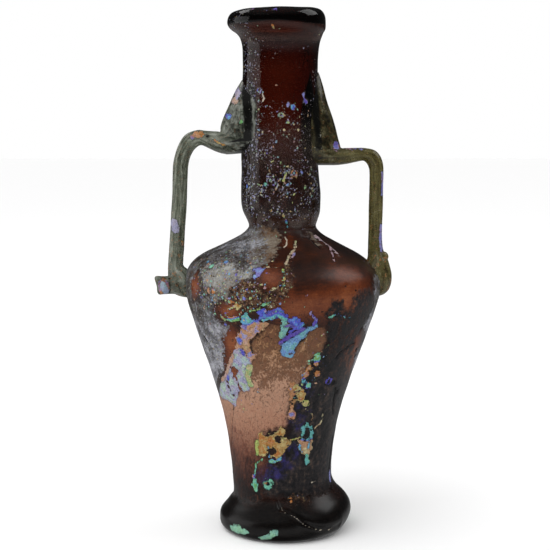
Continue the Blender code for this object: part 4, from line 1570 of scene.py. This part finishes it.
    def lay_char(self, coats: Coats, edge: Signal, blotch: Signal, level: Signal) -> None:
        """Lays the charred right side, worn above its middle, and the violet bloom in it.

        Args:
            coats: The layers.
            edge: A noise with lumps of about a millimetre.
            blotch: A noise with lumps of a few millimetres.
            level: The height in millimetres.
        """
        upward = coats.stretched(1.0, 0.3)
        streaks = coats.noise(3.0, detail=5.0, vector=upward, Roughness=0.7, Distortion=0.8)
        burnt = streaks * 0.5 + edge * 0.52
        worn = coats.step(burnt, 0.5, 0.62) * coats.step(level, *self.char_levels)
        char = coats.mask("char", blotch, wander=3.4, soft=0.8) * (worn * -0.8 + 1.0)
        coats.lay(char, coats.ramp(burnt, self.charred), roughness=0.34, clear=0.03, height=burnt * 0.6)
        bloom = coats.mask("bloom", edge, wander=1.6, soft=1.2) * coats.step(blotch, 0.4, 0.7)
        coats.lay(bloom, srgb(self.bloom), roughness=0.34, clear=0.03)

    def lay_films(
        self, coats: Coats, flake: LiftedFlake, noises: tuple[Signal, Signal, Signal, Signal], level: Signal
    ) -> None:
        """Lays the grey and tan films of the shoulder, the crust in front and the black foot.

        Args:
            coats: The layers.
            flake: What the specks on them are made with.
            noises: The noises of about a millimetre, under one, of a few and with chipped edges.
            level: The height in millimetres.
        """
        edge, grain, blotch, ragged = noises
        crumbs = coats.noise(0.75, detail=3.0, Roughness=0.6)
        fine = crumbs * 0.65 + blotch * 0.35
        lumps = (edge + fine) * 0.5
        cloudy = (grain * 0.4 + crumbs * 0.6) * 0.36 + blotch * 0.34 + coats.noise(9.0, detail=4.0) * 0.3
        tan = coats.mask("tan", ragged, wander=2.2, soft=0.5)
        coats.lay(tan, coats.ramp(cloudy, self.tan), roughness=0.5, clear=0.05, height=lumps)
        lace = coats.step(blotch * 0.8 + grain * 0.9, 0.76, 0.9)
        film = coats.mask("film", ragged, wander=2.0, soft=0.4) * (lace * 0.5 + 0.5)
        paler = coats.step(level, *self.film_levels) * 0.1 + cloudy
        coats.lay(film, coats.ramp(paler, self.film), roughness=0.44, clear=0.03, height=lumps)
        sunlit = coats.step(level, *self.haze_levels) * 0.09 + cloudy
        haze = coats.mask("haze", fine * 0.5 + blotch * 0.5, wander=7.5, soft=1.5) * (lace * 0.2 + 0.8)
        coats.lay(haze, coats.ramp(sunlit, self.haze), roughness=0.42, height=lumps)
        Specks(0.5, 0.34, self.glitter).lay(coats, haze, flake, grain)
        crust = coats.mask("crust", ragged, wander=2.8, soft=0.35)
        coats.lay(crust, coats.ramp(fine, self.crust), roughness=0.5, clear=0.05, height=lumps)
        Specks(0.6, 0.75, self.glitter).lay(coats, crust, flake, grain)
        rough_film = coats.mask("film", blotch, wander=1.0, soft=0.5)
        Specks(0.55, 0.3, self.glitter).lay(coats, rough_film, flake, grain)
        foot = coats.step(blotch * 8.0 + level, *self.foot_levels)
        coats.lay(foot, coats.ramp(fine, self.foot), roughness=0.24, clear=0.03)

    def lay_flakes(
        self, coats: Coats, flake: LiftedFlake, edge: Signal, grain: Signal, ragged: Signal
    ) -> None:
        """Lays the flakes, threads and specks that shine in the colours of thin films.

        Args:
            coats: The layers.
            flake: What they are made with.
            edge: A noise with lumps of about a millimetre.
            grain: A fine noise.
            ragged: A noise with chipped edges.
        """
        coats.lay(coats.mask("dark", edge, wander=0.3, soft=0.08), srgb(self.dark), roughness=0.6)
        pale = coats.mask("pale", edge, wander=0.45, soft=0.1)
        coats.lay(pale, srgb(self.pale), roughness=0.45, height=0.05)
        shift = flake.patches(coats)
        flake.lay(coats, "flake", 0.95, 0.3, ragged, shift, grain)
        flake.lay(coats, "thread", 0.6, 0.0, ragged, shift, grain)
        clusters = coats.step(coats.noise(4.0, detail=3.0, Roughness=0.6), 0.36, 0.58)
        dusting = coats.read("dusting") * clusters
        dust = coats.step(dusting * 0.14 + coats.noise(0.6, detail=2.0, Roughness=0.6), 0.68, 0.72)
        tint = coats.ramp(coats.noise(0.8, detail=1.0) * 2.4 - 0.7, self.silver)
        coats.lay(dust * coats.step(dusting, 0.02, 0.2), tint, roughness=0.45, metallic=0.1, height=0.04)
        Specks(0.55, 0.36, self.silver).lay(coats, dusting, flake, grain)
        flecks = coats.read("flecks") * clusters
        for spacing, share in ((0.6, 0.62), (1.0, 0.6)):
            Specks(spacing, share).lay(coats, flecks, flake, grain)


@dataclass
class Vessel:
    """The blown vessel: lip, neck, shoulder, body and foot in one closed skin with its hollow."""

    shape: VesselShape
    name: str = "blown_vessel"
    core_turn: float = 2.5

    def build(self) -> bpy.types.Object:
        """Builds the mesh and writes the weathering on it.

        Returns:
            The vessel.
        """
        line, start, end = self.shape.section()
        angles = self.shape.columns()
        rows = len(line) - 2
        angle = np.tile(angles, rows)
        radius = np.repeat(line[1:-1, 0], len(angles))
        level = np.repeat(line[1:-1, 1], len(angles))
        row = np.repeat(np.arange(1, rows + 1), len(angles))
        outside = (row >= start) & (row < end)
        run = np.zeros(len(angle))
        run[outside] = np.repeat(self.shape.outer_run, len(angles))

        weathering = Weathering(self.shape, angle[outside], level[outside], run[outside], radius[outside])
        weathering.draw(BODY_MARKS + NECK_MARKS)
        slope = slopes(line)
        normal = np.repeat(np.column_stack([slope[:, 1], -slope[:, 0]])[1:-1], len(angles), axis=0)
        proud = np.zeros(len(angle))
        proud[outside] = self.shape.undulation(angle[outside], level[outside]) + weathering.relief()
        points = self.shape.place(angle, radius + normal[:, 0] * proud, level + normal[:, 1] * proud)
        ends = self.shape.place(np.zeros(2), np.zeros(2), line[[0, -1], 1])
        mesh = self.skin(np.vstack([points, ends]), rows, len(angles))

        for name, values in weathering.attributes().items():
            whole = np.zeros(len(mesh.vertices), np.float32)
            if name in {layer.value for layer in Layer}:
                whole[:] = -Weathering.margin
            whole[: len(angle)][outside] = values
            write_values(mesh, name, whole)
        write_values(mesh, "outside", np.concatenate([outside, [True, False]]).astype(np.float32))
        return link_object(self.name, mesh)

    def core(self, shrink: float = 0.15) -> bpy.types.Object:
        """Builds the vessel without its hollow, which the handles are cut with.

        Args:
            shrink: How much smaller it is than the vessel, in millimetres.

        Returns:
            The solid.
        """
        outer = self.shape.outer[: self.shape.crest + 1 : 2]
        slope = slopes(outer)
        columns = np.arange(0, 360, self.core_turn)
        angle = np.tile(columns, len(outer))
        level = np.repeat(outer[:, 1], len(columns))
        radius = np.repeat(outer[:, 0], len(columns))
        normal = np.repeat(np.column_stack([slope[:, 1], -slope[:, 0]]), len(columns), axis=0)
        proud = self.shape.undulation(angle, level) - shrink
        points = self.shape.place(angle, radius + normal[:, 0] * proud, level + normal[:, 1] * proud)
        ends = self.shape.place(np.zeros(2), np.zeros(2), outer[[0, -1], 1])
        mesh = self.skin(np.vstack([points, ends]), len(outer), len(columns))
        return link_object("vessel_core", mesh)

    def skin(self, points: np.ndarray, rows: int, columns: int) -> bpy.types.Mesh:
        """Closes a mesh over rows of points.

        Args:
            points: The points, row by row, and then the one at the bottom and the one at the top.
            rows: How many rows there are.
            columns: How many points a row has.

        Returns:
            The mesh.
        """
        grid = np.arange(rows * columns).reshape(rows, columns)
        after = np.roll(grid, -1, axis=1)
        quads = np.stack([grid[:-1], after[:-1], after[1:], grid[1:]], axis=-1).reshape(-1, 4)
        bottom, top = rows * columns, rows * columns + 1
        faces = [tuple(face) for face in quads.tolist()]
        faces += [(bottom, b, a) for a, b in zip(grid[0].tolist(), after[0].tolist())]
        faces += [(top, a, b) for a, b in zip(grid[-1].tolist(), after[-1].tolist())]
        mesh = bpy.data.meshes.new(self.name)
        mesh.from_pydata(points.tolist(), [], faces)
        mesh.shade_smooth()
        return mesh

    def dress(self, piece: bpy.types.Object) -> None:
        """Gives the vessel its glass: one for outside and inside, so that it absorbs light in the wall alone.

        Args:
            piece: The vessel.
        """
        piece.data.materials.append(WeatheredAubergineGlass().make())
        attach(piece, BODY)
        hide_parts("vessel")


@dataclass(frozen=True)
class TrailedOliveGlass:
    """Olive-green soda glass drawn out in a hot trail: streaked along its length, with a dull film."""

    name: str
    rod: Stops
    tongue: Stops
    absorbed: str = "#B9BC9A"
    density: float = 520.0
    clear: float = 0.5
    rust: str = "#8E5A30"
    dark: str = "#0B0B09"
    dust: Stops = ((0.4, "#8C8C82"), (0.55, "#C6C2B6"), (0.65, "#B0A4B4"))

    def make(self) -> bpy.types.Material:
        """Builds the material.

        Returns:
            The material.
        """
        coats = Coats(self.name, srgb(self.rod[1][1]), roughness=0.22, clear=self.clear)
        along = add_node(coats.tree, "ShaderNodeAttribute", attribute_name="drawn").outputs["Vector"]
        streak = coats.noise(0.7, detail=4.0, vector=along, Roughness=0.75)
        edge = coats.noise(1.0, detail=4.0, Roughness=0.65)
        grain = coats.noise(0.45, detail=3.0, Roughness=0.8)
        blotch = coats.noise(2.6, detail=5.0, Roughness=0.7)
        coats.colour = coats.ramp(streak * 0.75 + blotch * 0.25, self.rod)
        mottled = coats.ramp(blotch * 0.55 + streak * 0.45, self.tongue)
        coats.lay(coats.read("dusk"), mottled, roughness=0.16, clear=0.35)
        rusty = coats.step(edge, 0.55, 0.66) * coats.read("stain")
        coats.lay(rusty, srgb(self.rust), roughness=0.5, clear=0.1)
        # Dark marks, among them painted shade in the groove where each tongue meets the neck
        coats.lay(coats.mask("dark", edge, wander=0.5, soft=0.3), srgb(self.dark), roughness=0.18, clear=0.1)
        dusty = coats.step(blotch * 0.35 + grain, 0.86, 0.9)
        coats.lay(dusty, coats.ramp(edge, self.dust), roughness=0.5, height=0.03)
        flake = LiftedFlake()
        shift = flake.patches(coats)
        for layer in Painting.hued:
            flake.lay(coats, layer.value, 0.8, 0.0, edge, shift, grain)
        return coats.finish(grain, 0.02, self.absorbed, self.density)


@dataclass
class Trail:
    """One handle, drawn from a single trail of glass. Reaches are from the vessel's middle plane."""

    shape: VesselShape
    glass: TrailedOliveGlass
    marks: tuple[Mark, ...]
    node: str
    side: int
    arm_top: float
    arm_rise: float
    arm_thickness: float
    arm_sag: float
    bend_reach: float
    bend_drop: float
    bend_roundness: float
    inner_bend_reach: float
    inner_bend_drop: float
    rod_reach: float
    rod_spread: float
    rod_width: float
    rod_depth: float
    tongue_height: float
    tongue_swell: float
    tongue_curve: float
    tongue_width: float
    tongue_forward: float
    foot_top: float
    foot_bottom: float
    foot_reach: float
    foot_width: float
    sink: float = 1.2
    sides: int = 32
    spacing: float = 0.6
    ring_width: float = 0.93
    sharp_angle: float = 48.0
    streak_girth: float = 2.4
    streak_pull: float = 0.09
    front_limit: float = 0.6

    def surface(self, level: float) -> float:
        """How far the vessel's surface is from the middle plane on this side."""
        lean = float(eased(self.shape.lean, np.array([level]))[0])
        return float(self.shape.radius_at(level)) + self.side * lean

    def tongue(self) -> list[Station]:
        """The tongue, from its drawn-out tip down the neck to the arm's upper side.

        Returns:
            Its stations: the outer side's reach and level, the inner side's reach and level, the width from
            front to back, and how far forward the middle is.
        """
        made = []
        for share, width in ((1.0, 0.12), (0.9, 0.42), (0.72, 0.76), (0.5, 0.97), (0.25, 1.0), (0.07, 0.98)):
            level = self.arm_top + share * self.tongue_height
            swell = self.tongue_swell * (1.02 - share**self.tongue_curve)
            outer = self.surface(level) + swell
            made.append((outer, level, -self.sink, level, width * self.tongue_width, self.tongue_forward))
        return made

    def arm(self) -> list[Station]:
        """Runs through the fold under the tongue, the sagging arm and the bend down into the rod.

        Returns:
            Their stations.
        """
        top = self.arm_top
        bottom = top - self.arm_thickness
        surface = self.surface(bottom)
        fold = surface + self.tongue_swell
        outer_end = self.rod_reach + self.rod_width / 2 - self.bend_reach
        inner_end = self.rod_reach - self.rod_width / 2 - self.inner_bend_reach
        wide, forward = self.tongue_width, self.tongue_forward
        made = [
            (fold, top, -self.sink, between(top, bottom, 0.6), 0.95 * wide, forward),
            (fold + 0.2, top - 0.1, -self.sink, bottom - 0.8 * self.arm_sag, 0.86 * wide, forward),
        ]
        for outer, inner, sag, width in (
            (0.08, 0.03, 0.95, 0.72),
            (0.28, 0.38, 1.0, 0.55),
            (0.50, 0.62, 0.75, 0.3),
            (0.75, 0.84, 0.3, 0.1),
            (0.97, 0.99, 0.0, 0.0),
        ):
            reach = between(fold, outer_end, outer)
            inner_reach = between(surface, inner_end, inner)
            across = between(self.rod_depth, wide, width)
            low = bottom - sag * self.arm_sag
            made.append((reach, top + outer * self.arm_rise, inner_reach, low, across, width * forward))
        for share in (0.3, 0.55, 0.8, 1.0):
            reach, drop = self.superround(self.bend_roundness, share)
            inner_reach, inner_drop = self.superround(2.0, share)
            high = top + self.arm_rise - drop * self.bend_drop
            low = bottom - inner_drop * self.inner_bend_drop
            outer = outer_end + reach * self.bend_reach
            inner = inner_end + inner_reach * self.inner_bend_reach
            made.append((outer, high, inner, low, self.rod_depth, 0.0))
        return made

    @staticmethod
    def superround(roundness: float, share: float) -> Pair:
        """The reach and the drop, each from 0 to 1, at this share of the way round a bend."""
        turn = share * math.pi / 2
        return math.sin(turn) ** (2 / roundness), 1 - math.cos(turn) ** (2 / roundness)

    def rod(self) -> list[Station]:
        """Runs down the rod, from under the bend to just above the shoulder.

        Returns:
            Its stations.
        """
        half = self.rod_width / 2
        high = self.arm_top - 1.2 * self.bend_drop
        made = []
        for share in (0.15, 0.5, 0.85):
            level = between(high, self.foot_top, share)
            reach = self.rod_reach + share * self.rod_spread
            made.append((reach + half, level, reach - half, level, self.rod_depth, 0.0))
        return made

    def foot(self) -> list[Station]:
        """Runs through the lump on the shoulder, down to its rounded end.

        Returns:
            Its stations.
        """
        rod = self.rod_reach + self.rod_spread
        half = self.rod_width / 2
        made = []
        for share, bulge, inner, width in (
            (0.0, 0.15, 1.0, 0.1), (0.2, 0.62, 0.95, 0.5), (0.38, 0.88, 0.3, 0.8),
        ):
            level = between(self.foot_top, self.foot_bottom, share)
            deep = self.surface(level) - 4 * self.sink
            outer = between(rod + half, self.foot_reach, bulge)
            across = between(self.rod_depth, self.foot_width, width)
            made.append((outer, level, between(deep, rod - half, inner), level, across, 0.0))
        for share, bulge, width in (
            (0.55, 1.0, 1.0), (0.73, 0.93, 0.95), (0.88, 0.7, 0.78), (0.97, 0.36, 0.5), (1.0, 0.1, 0.3),
        ):
            level = between(self.foot_top, self.foot_bottom, share)
            surface = self.surface(level)
            outer = between(surface, self.foot_reach, bulge)
            made.append((outer, level, surface - 4 * self.sink, level, width * self.foot_width, 0.0))
        return made

    def rings(self) -> np.ndarray:
        """Lays rings round the trail, with the grooves of its drawing, and keeps its middle line.

        Returns:
            The points in millimetres, by ring and by side.
        """
        stations = smooth_line(self.tongue() + self.arm() + self.rod() + self.foot(), self.spacing)
        outer_x = self.shape.axis_x + self.side * stations[:, 0]
        inner_x = self.shape.axis_x + self.side * stations[:, 2]
        self.middle = np.column_stack(
            [(outer_x + inner_x) / 2, -stations[:, 5], (stations[:, 1] + stations[:, 3]) / 2]
        )
        self.half = np.column_stack(
            [(outer_x - inner_x) / 2, np.zeros(len(stations)), (stations[:, 1] - stations[:, 3]) / 2]
        )
        self.across = stations[:, 4] / 2 * self.ring_width
        self.drawn = run_length(stations[:, :2])
        turn = np.linspace(0, 2 * math.pi, self.sides, endpoint=False)[None, :]
        run = self.drawn[:, None]
        size = 1 + 0.018 * np.sin(3 * turn + 0.07 * run + self.side) + 0.012 * np.sin(7 * turn - 0.11 * run)
        size = size + 0.015 * np.sin(0.55 * run + 2 * turn)
        points = self.middle[:, None, :] + self.half[:, None, :] * (size * np.cos(turn))[..., None]
        points[..., 1] += self.across[:, None] * size * np.sin(turn)
        return points

    def stub(self) -> np.ndarray:
        """The left trail's snapped-off end, which runs out and to the front, to a flat oval break.

        Returns:
            Its rings, as rings gives them.
        """
        reach, level, height, width = self.shape.shoulder_radius + 8.3, self.shape.shoulder + 0.1, 5.6, 5.0
        turn = math.radians(32.0)
        out = np.array([-math.cos(turn), -math.sin(turn), 0.0])
        aside = np.array([math.sin(turn), -math.cos(turn), 0.0])
        start = self.shape.shoulder_radius - 2.5 * self.sink
        length = (reach - start - width / 2 * math.sin(turn)) / math.cos(turn)
        stations = (
            (0.0, 1.2, 1.3), (0.35, 1.15, 1.2), (0.65, 1.0, 1.05), (0.88, 0.96, 1.0), (0.96, 0.97, 1.0),
            (0.985, 0.92, 0.94), (0.98, 0.72, 0.74), (0.955, 0.5, 0.5), (0.95, 0.1, 0.1),
        )
        line = smooth_line(stations, 0.04)
        angle = np.linspace(0, 2 * math.pi, self.sides, endpoint=False)
        root = np.array([self.shape.axis_x - start, 0.0, level])
        points = []
        for share, high, wide in line:
            torn = 1 + 0.09 * np.sin(3 * angle + 1.2) + 0.05 * np.sin(5 * angle)
            tip = np.exp(-(((angle - 2.3) / 0.45) ** 2)) * min(max((share - 0.7) / 0.25, 0), 1) * min(high, 1)
            sideways = aside[None, :] * (wide * width / 2 * np.cos(angle) * torn)[:, None]
            tall = high * height / 2 * np.sin(angle) * (torn + 0.3 * tip)
            upward = np.array([0.0, 0.0, 1.0])[None, :] * tall[:, None]
            outward = out[None, :] * (share * length + 0.9 * tip)[:, None]
            points.append(root + outward + 0.93 * (sideways + upward))
        return np.array(points)

    def bead(self) -> np.ndarray:
        """The small lump at the top of the right trail's foot.

        Returns:
            Its rings, as rings gives them.
        """
        radius = 1.5
        reach = self.rod_reach + self.rod_spread + self.rod_width / 2 + 0.2 * radius
        centre = np.array([self.shape.axis_x + reach, -0.3 * self.rod_depth, self.foot_top - 1.15 * radius])
        turn = np.linspace(0, 2 * math.pi, self.sides, endpoint=False)
        points = []
        for rise in np.linspace(-80, 80, 17):
            flat = math.cos(math.radians(rise)) * radius
            high = np.full(self.sides, math.sin(math.radians(rise)) * radius)
            points.append(centre + np.column_stack([flat * np.cos(turn), flat * np.sin(turn), high]))
        return np.array(points)

    def solid(self, name: str, rings: np.ndarray) -> bpy.types.Object:
        """Closes an object over rings.

        Args:
            name: Its name.
            rings: The points in millimetres, by ring and by side.

        Returns:
            The object.
        """
        count, sides = rings.shape[:2]
        grid = np.arange(count * sides).reshape(count, sides)
        after = np.roll(grid, -1, axis=1)
        quads = np.stack([grid[:-1], grid[1:], after[1:], after[:-1]], axis=-1).reshape(-1, 4)
        faces = [tuple(face) for face in quads.tolist()]
        faces += [tuple(grid[0].tolist()), tuple(grid[-1][::-1].tolist())]
        mesh = bpy.data.meshes.new(name)
        mesh.from_pydata((rings.reshape(-1, 3) * MM).tolist(), [], faces)
        shape = bmesh.new()
        shape.from_mesh(mesh)
        bmesh.ops.recalc_face_normals(shape, faces=shape.faces)
        shape.to_mesh(mesh)
        shape.free()
        return link_object(name, mesh)

    @staticmethod
    def combine(target: bpy.types.Object, other: bpy.types.Object, operation: str) -> None:
        """Joins or cuts the target with another object.

        Args:
            target: What is changed.
            other: The other object, which stays.
            operation: The modifier's name for what is done.
        """
        step = target.modifiers.new("fuse", "BOOLEAN")
        step.operation = operation
        step.object = other
        mesh = bpy.data.meshes.new_from_object(target.evaluated_get(bpy.context.evaluated_depsgraph_get()))
        target.modifiers.clear()
        target.data = mesh

    def build(self, core: bpy.types.Object) -> bpy.types.Object:
        """Builds the handle and cuts it to the vessel.

        Args:
            core: The vessel without its hollow, a little smaller than its surface.

        Returns:
            The handle.
        """
        made = self.solid(self.node + "_trail", self.rings())
        extra = self.solid("extra", self.stub() if self.side < 0 else self.bead())
        self.combine(made, extra, "UNION")
        self.combine(made, core, "DIFFERENCE")
        bpy.data.objects.remove(extra)
        made.data.shade_smooth()
        made.data.set_sharp_from_angle(angle=math.radians(self.sharp_angle))
        self.paint(made.data)
        return made

    def paint(self, mesh: bpy.types.Mesh) -> None:
        """Writes how the glass was drawn, and the marks on it, on the mesh.

        Args:
            mesh: The handle's mesh.
        """
        flat = np.zeros(len(mesh.vertices) * 3)
        mesh.vertices.foreach_get("co", flat)
        points = flat.reshape(-1, 3) / MM
        distance = np.linalg.norm(points[:, None, :] - self.middle[None, :, :], axis=2)
        nearest = distance.argmin(axis=1)
        offset = points - self.middle[nearest]
        direction = self.half[nearest] / np.linalg.norm(self.half[nearest], axis=1)[:, None]
        turn = np.arctan2(offset[:, 1], (offset * direction).sum(axis=1))
        run = self.drawn[nearest]
        girth, pull = self.streak_girth, self.streak_pull
        drawn = np.column_stack([girth * np.cos(turn), girth * np.sin(turn), pull * run]) * MM
        mesh.attributes.new("drawn", "FLOAT_VECTOR", "POINT").data.foreach_set("vector", drawn.ravel())
        reach = np.abs(points[:, 0] - self.shape.axis_x)
        on_neck = points[:, 2] > self.foot_top + 4
        inward = eased(((self.shape.neck_radius + 2, 1.0), (self.shape.neck_radius + 9, 0.0)), reach)
        stained = eased(((self.foot_top - 4, 1.0), (self.foot_top + 12, 0.25)), points[:, 2])
        values = {"dusk": inward * on_neck, "stain": stained}
        front = np.where(points[:, 1] < self.front_limit, 0.0, -Painting.margin)
        painting = Painting(len(points))
        for mark in self.marks:
            depth = painting.depth_in(mark, points[:, [0, 2]], np.array(mark.points, float))
            painting.add(mark, np.arange(len(points)), depth + front)
        for name, value in (values | painting.attributes()).items():
            write_values(mesh, name, value)

    def dress(self, piece: bpy.types.Object) -> None:
        """Gives the handle its glass.

        Args:
            piece: The handle.
        """
        piece.data.materials.clear()
        piece.data.materials.append(self.glass.make())
        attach(piece, BODY)
        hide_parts(self.node)


def handle_pair(shape: VesselShape) -> tuple[Trail, Trail]:
    """Sizes the two handles, which differ as hand-drawn ones do.

    Args:
        shape: The vessel's shape, which they follow.

    Returns:
        The left handle and the right one.
    """
    left = Trail(
        shape=shape,
        glass=TrailedOliveGlass(
            "olive_glass_left",
            rod=((0.38, "#30352C"), (0.46, "#62675A"), (0.54, "#858A7C"), (0.64, "#B8BCB0")),
            tongue=((0.38, "#12140F"), (0.46, "#41453B"), (0.53, "#7C8077"), (0.62, "#A4A79F")),
        ),
        marks=LEFT_MARKS,
        node="left_handle",
        side=-1,
        arm_top=shape.root + 26.9,
        arm_rise=0.5,
        arm_thickness=3.9,
        arm_sag=2.5,
        bend_reach=7.2,
        bend_drop=13.0,
        bend_roundness=2.1,
        inner_bend_reach=4.0,
        inner_bend_drop=8.5,
        rod_reach=shape.shoulder_radius + 1.1,
        rod_spread=1.5,
        rod_width=4.3,
        rod_depth=4.6,
        tongue_height=14.6,
        tongue_swell=5.9,
        tongue_curve=1.5,
        tongue_width=14.6,
        tongue_forward=1.4,
        foot_top=shape.shoulder + 7.0,
        foot_bottom=shape.shoulder - 4.0,
        foot_reach=shape.shoulder_radius + 5.1,
        foot_width=10.5,
    )
    right = Trail(
        shape=shape,
        glass=TrailedOliveGlass(
            "olive_glass_right",
            rod=((0.36, "#2C2612"), (0.46, "#574F2C"), (0.55, "#6E673F"), (0.66, "#8E8862")),
            tongue=((0.38, "#0C0B07"), (0.47, "#221F12"), (0.55, "#45412B"), (0.66, "#77735A")),
        ),
        marks=RIGHT_MARKS,
        node="right_handle",
        side=1,
        arm_top=shape.root + 22.2,
        arm_rise=0.1,
        arm_thickness=3.6,
        arm_sag=1.2,
        bend_reach=5.8,
        bend_drop=7.4,
        bend_roundness=2.6,
        inner_bend_reach=2.2,
        inner_bend_drop=3.4,
        rod_reach=shape.shoulder_radius - 1.15,
        rod_spread=-0.2,
        rod_width=4.0,
        rod_depth=4.2,
        tongue_height=21.4,
        tongue_swell=6.7,
        tongue_curve=1.1,
        tongue_width=12.2,
        tongue_forward=0.5,
        foot_top=shape.shoulder + 9.7,
        foot_bottom=shape.shoulder - 3.5,
        foot_reach=shape.shoulder_radius + 3.6,
        foot_width=11.5,
    )
    return left, right


@dataclass
class Studio:
    """A plain pale floor, soft light and the camera."""

    camera_place: tuple[float, float, float] = (0.0001, -0.3759, 0.1215)
    camera_pitch: float = 7.13
    lens: float = 85.76
    floor_side: float = 6.0
    lit_place: tuple[float, float, float] = (0.0, 0.0, 0.07)
    shadow_fill: float = 0.72
    sun_power: float = 1.5
    sun_spread: float = 55.0
    sun_turn: Pair = (24.0, -26.0)
    mirrored: Stops = (
        (0.0, "#303030"), (0.08, "#686868"), (0.18, "#969696"), (0.38, "#969696"), (0.44, "#606060"),
        (0.49, "#303030"), (0.7, "#2A2A2A"), (1.0, "#707070"),
    )

    def build(self) -> None:
        """Builds the floor, the lamps, the surroundings and the camera."""
        self.floor()
        self.daylight()
        self.lamp("left_window", place=(-0.6, 0.02, 0.15), size=(0.6, 0.45), power=0.55)
        self.lamp("right_window", place=(0.6, 0.1, 0.62), size=(0.5, 0.45), power=1.05)
        self.lamp("left_skylight", place=(-0.45, 0.3, 0.68), size=(0.4, 0.26), power=0.6)
        self.surroundings()
        self.camera()

    def floor(self) -> None:
        """A wide pale floor."""
        half = self.floor_side / 2
        corners = [(-half, -half, 0), (half, -half, 0), (half, half, 0), (-half, half, 0)]
        mesh = bpy.data.meshes.new("studio_floor")
        mesh.from_pydata(corners, [], [(0, 1, 2, 3)])
        made = link_object("studio_floor", mesh)
        material = bpy.data.materials.new("pale_floor")
        material.use_nodes = True
        shader = material.node_tree.nodes["Principled BSDF"]
        shader.inputs["Base Color"].default_value = srgb("#F4F4F4")
        shader.inputs["Roughness"].default_value = 0.9
        shader.inputs["Specular IOR Level"].default_value = 0.1
        mesh.materials.append(material)
        made.visible_glossy = False

    def lamp(self, name: str, place: tuple[float, float, float], size: Pair, power: float) -> None:
        """One soft lamp that faces the vessel's middle.

        Args:
            name: Its name.
            place: Where it is, in metres.
            size: Its width and height in metres.
            power: Its power in watts.
        """
        data = bpy.data.lights.new(name, "AREA")
        data.shape = "RECTANGLE"
        data.size, data.size_y = size
        data.energy = power
        made = link_object(name, data)
        made.location = place
        aim = Vector(self.lit_place) - made.location
        made.rotation_mode = "QUATERNION"
        made.rotation_quaternion = aim.to_track_quat("-Z", "Y")

    def daylight(self) -> None:
        """One wide even light from the upper left, which gives the soft shadow to the right."""
        data = bpy.data.lights.new("daylight", "SUN")
        data.energy = self.sun_power
        data.angle = math.radians(self.sun_spread)
        made = link_object("daylight", data)
        made.rotation_euler = (*(math.radians(turn) for turn in self.sun_turn), 0.0)
        made.visible_glossy = False

    def surroundings(self) -> None:
        """White all round for the eye and through the glass, and dimmer where it would only fill shadows."""
        world = bpy.data.worlds.new("white_studio")
        world.use_nodes = True
        tree = world.node_tree
        tree.nodes.clear()
        ray = add_node(tree, "ShaderNodeLightPath")
        direction = add_node(tree, "ShaderNodeTexCoord").outputs["Generated"]
        height = add_node(tree, "ShaderNodeSeparateXYZ", {0: direction}).outputs[2]
        upward = Signal(tree, height) * 0.5 + 0.5
        mirrored = add_node(tree, "ShaderNodeValToRGB", {"Fac": upward}, stops=self.mirrored).outputs[0]
        glossy = Signal(tree, ray.outputs["Is Glossy Ray"])
        through = Signal(tree, ray.outputs["Is Transmission Ray"])
        soft = add_node(tree, "ShaderNodeMix", {0: through < glossy, 2: 1.0, 3: mirrored}).outputs[0]
        links = {0: ray.outputs["Is Diffuse Ray"], 2: soft, 3: self.shadow_fill}
        level = add_node(tree, "ShaderNodeMix", links).outputs[0]
        light = add_node(tree, "ShaderNodeBackground", {"Color": (1, 1, 1, 1), "Strength": level})
        add_node(tree, "ShaderNodeOutputWorld", {"Surface": light.outputs[0]})
        bpy.context.scene.world = world
        bpy.context.scene.view_settings.view_transform = "Standard"

    def camera(self) -> None:
        """The camera at the photograph's angle."""
        data = bpy.data.cameras.new("camera")
        data.lens = self.lens
        data.sensor_width = 36.0
        data.clip_start = 0.01
        made = link_object("camera", data)
        made.location = self.camera_place
        made.rotation_euler = (math.radians(90 - self.camera_pitch), 0.0, 0.0)
        bpy.context.scene.camera = made


def main() -> None:
    """Builds the studio and every piece in order."""
    logging.basicConfig(level=logging.INFO, format="%(name)s: %(message)s")
    Studio().build()
    shape = VesselShape()
    vessel = Vessel(shape)
    piece = vessel.build()
    vessel.dress(piece)
    log.info("%s: %d faces", piece.name, len(piece.data.polygons))
    core = vessel.core()
    for trail in handle_pair(shape):
        handle = trail.build(core)
        trail.dress(handle)
        log.info("%s: %d faces", handle.name, len(handle.data.polygons))
    bpy.data.objects.remove(core)


if __name__ == "__main__":
    main()
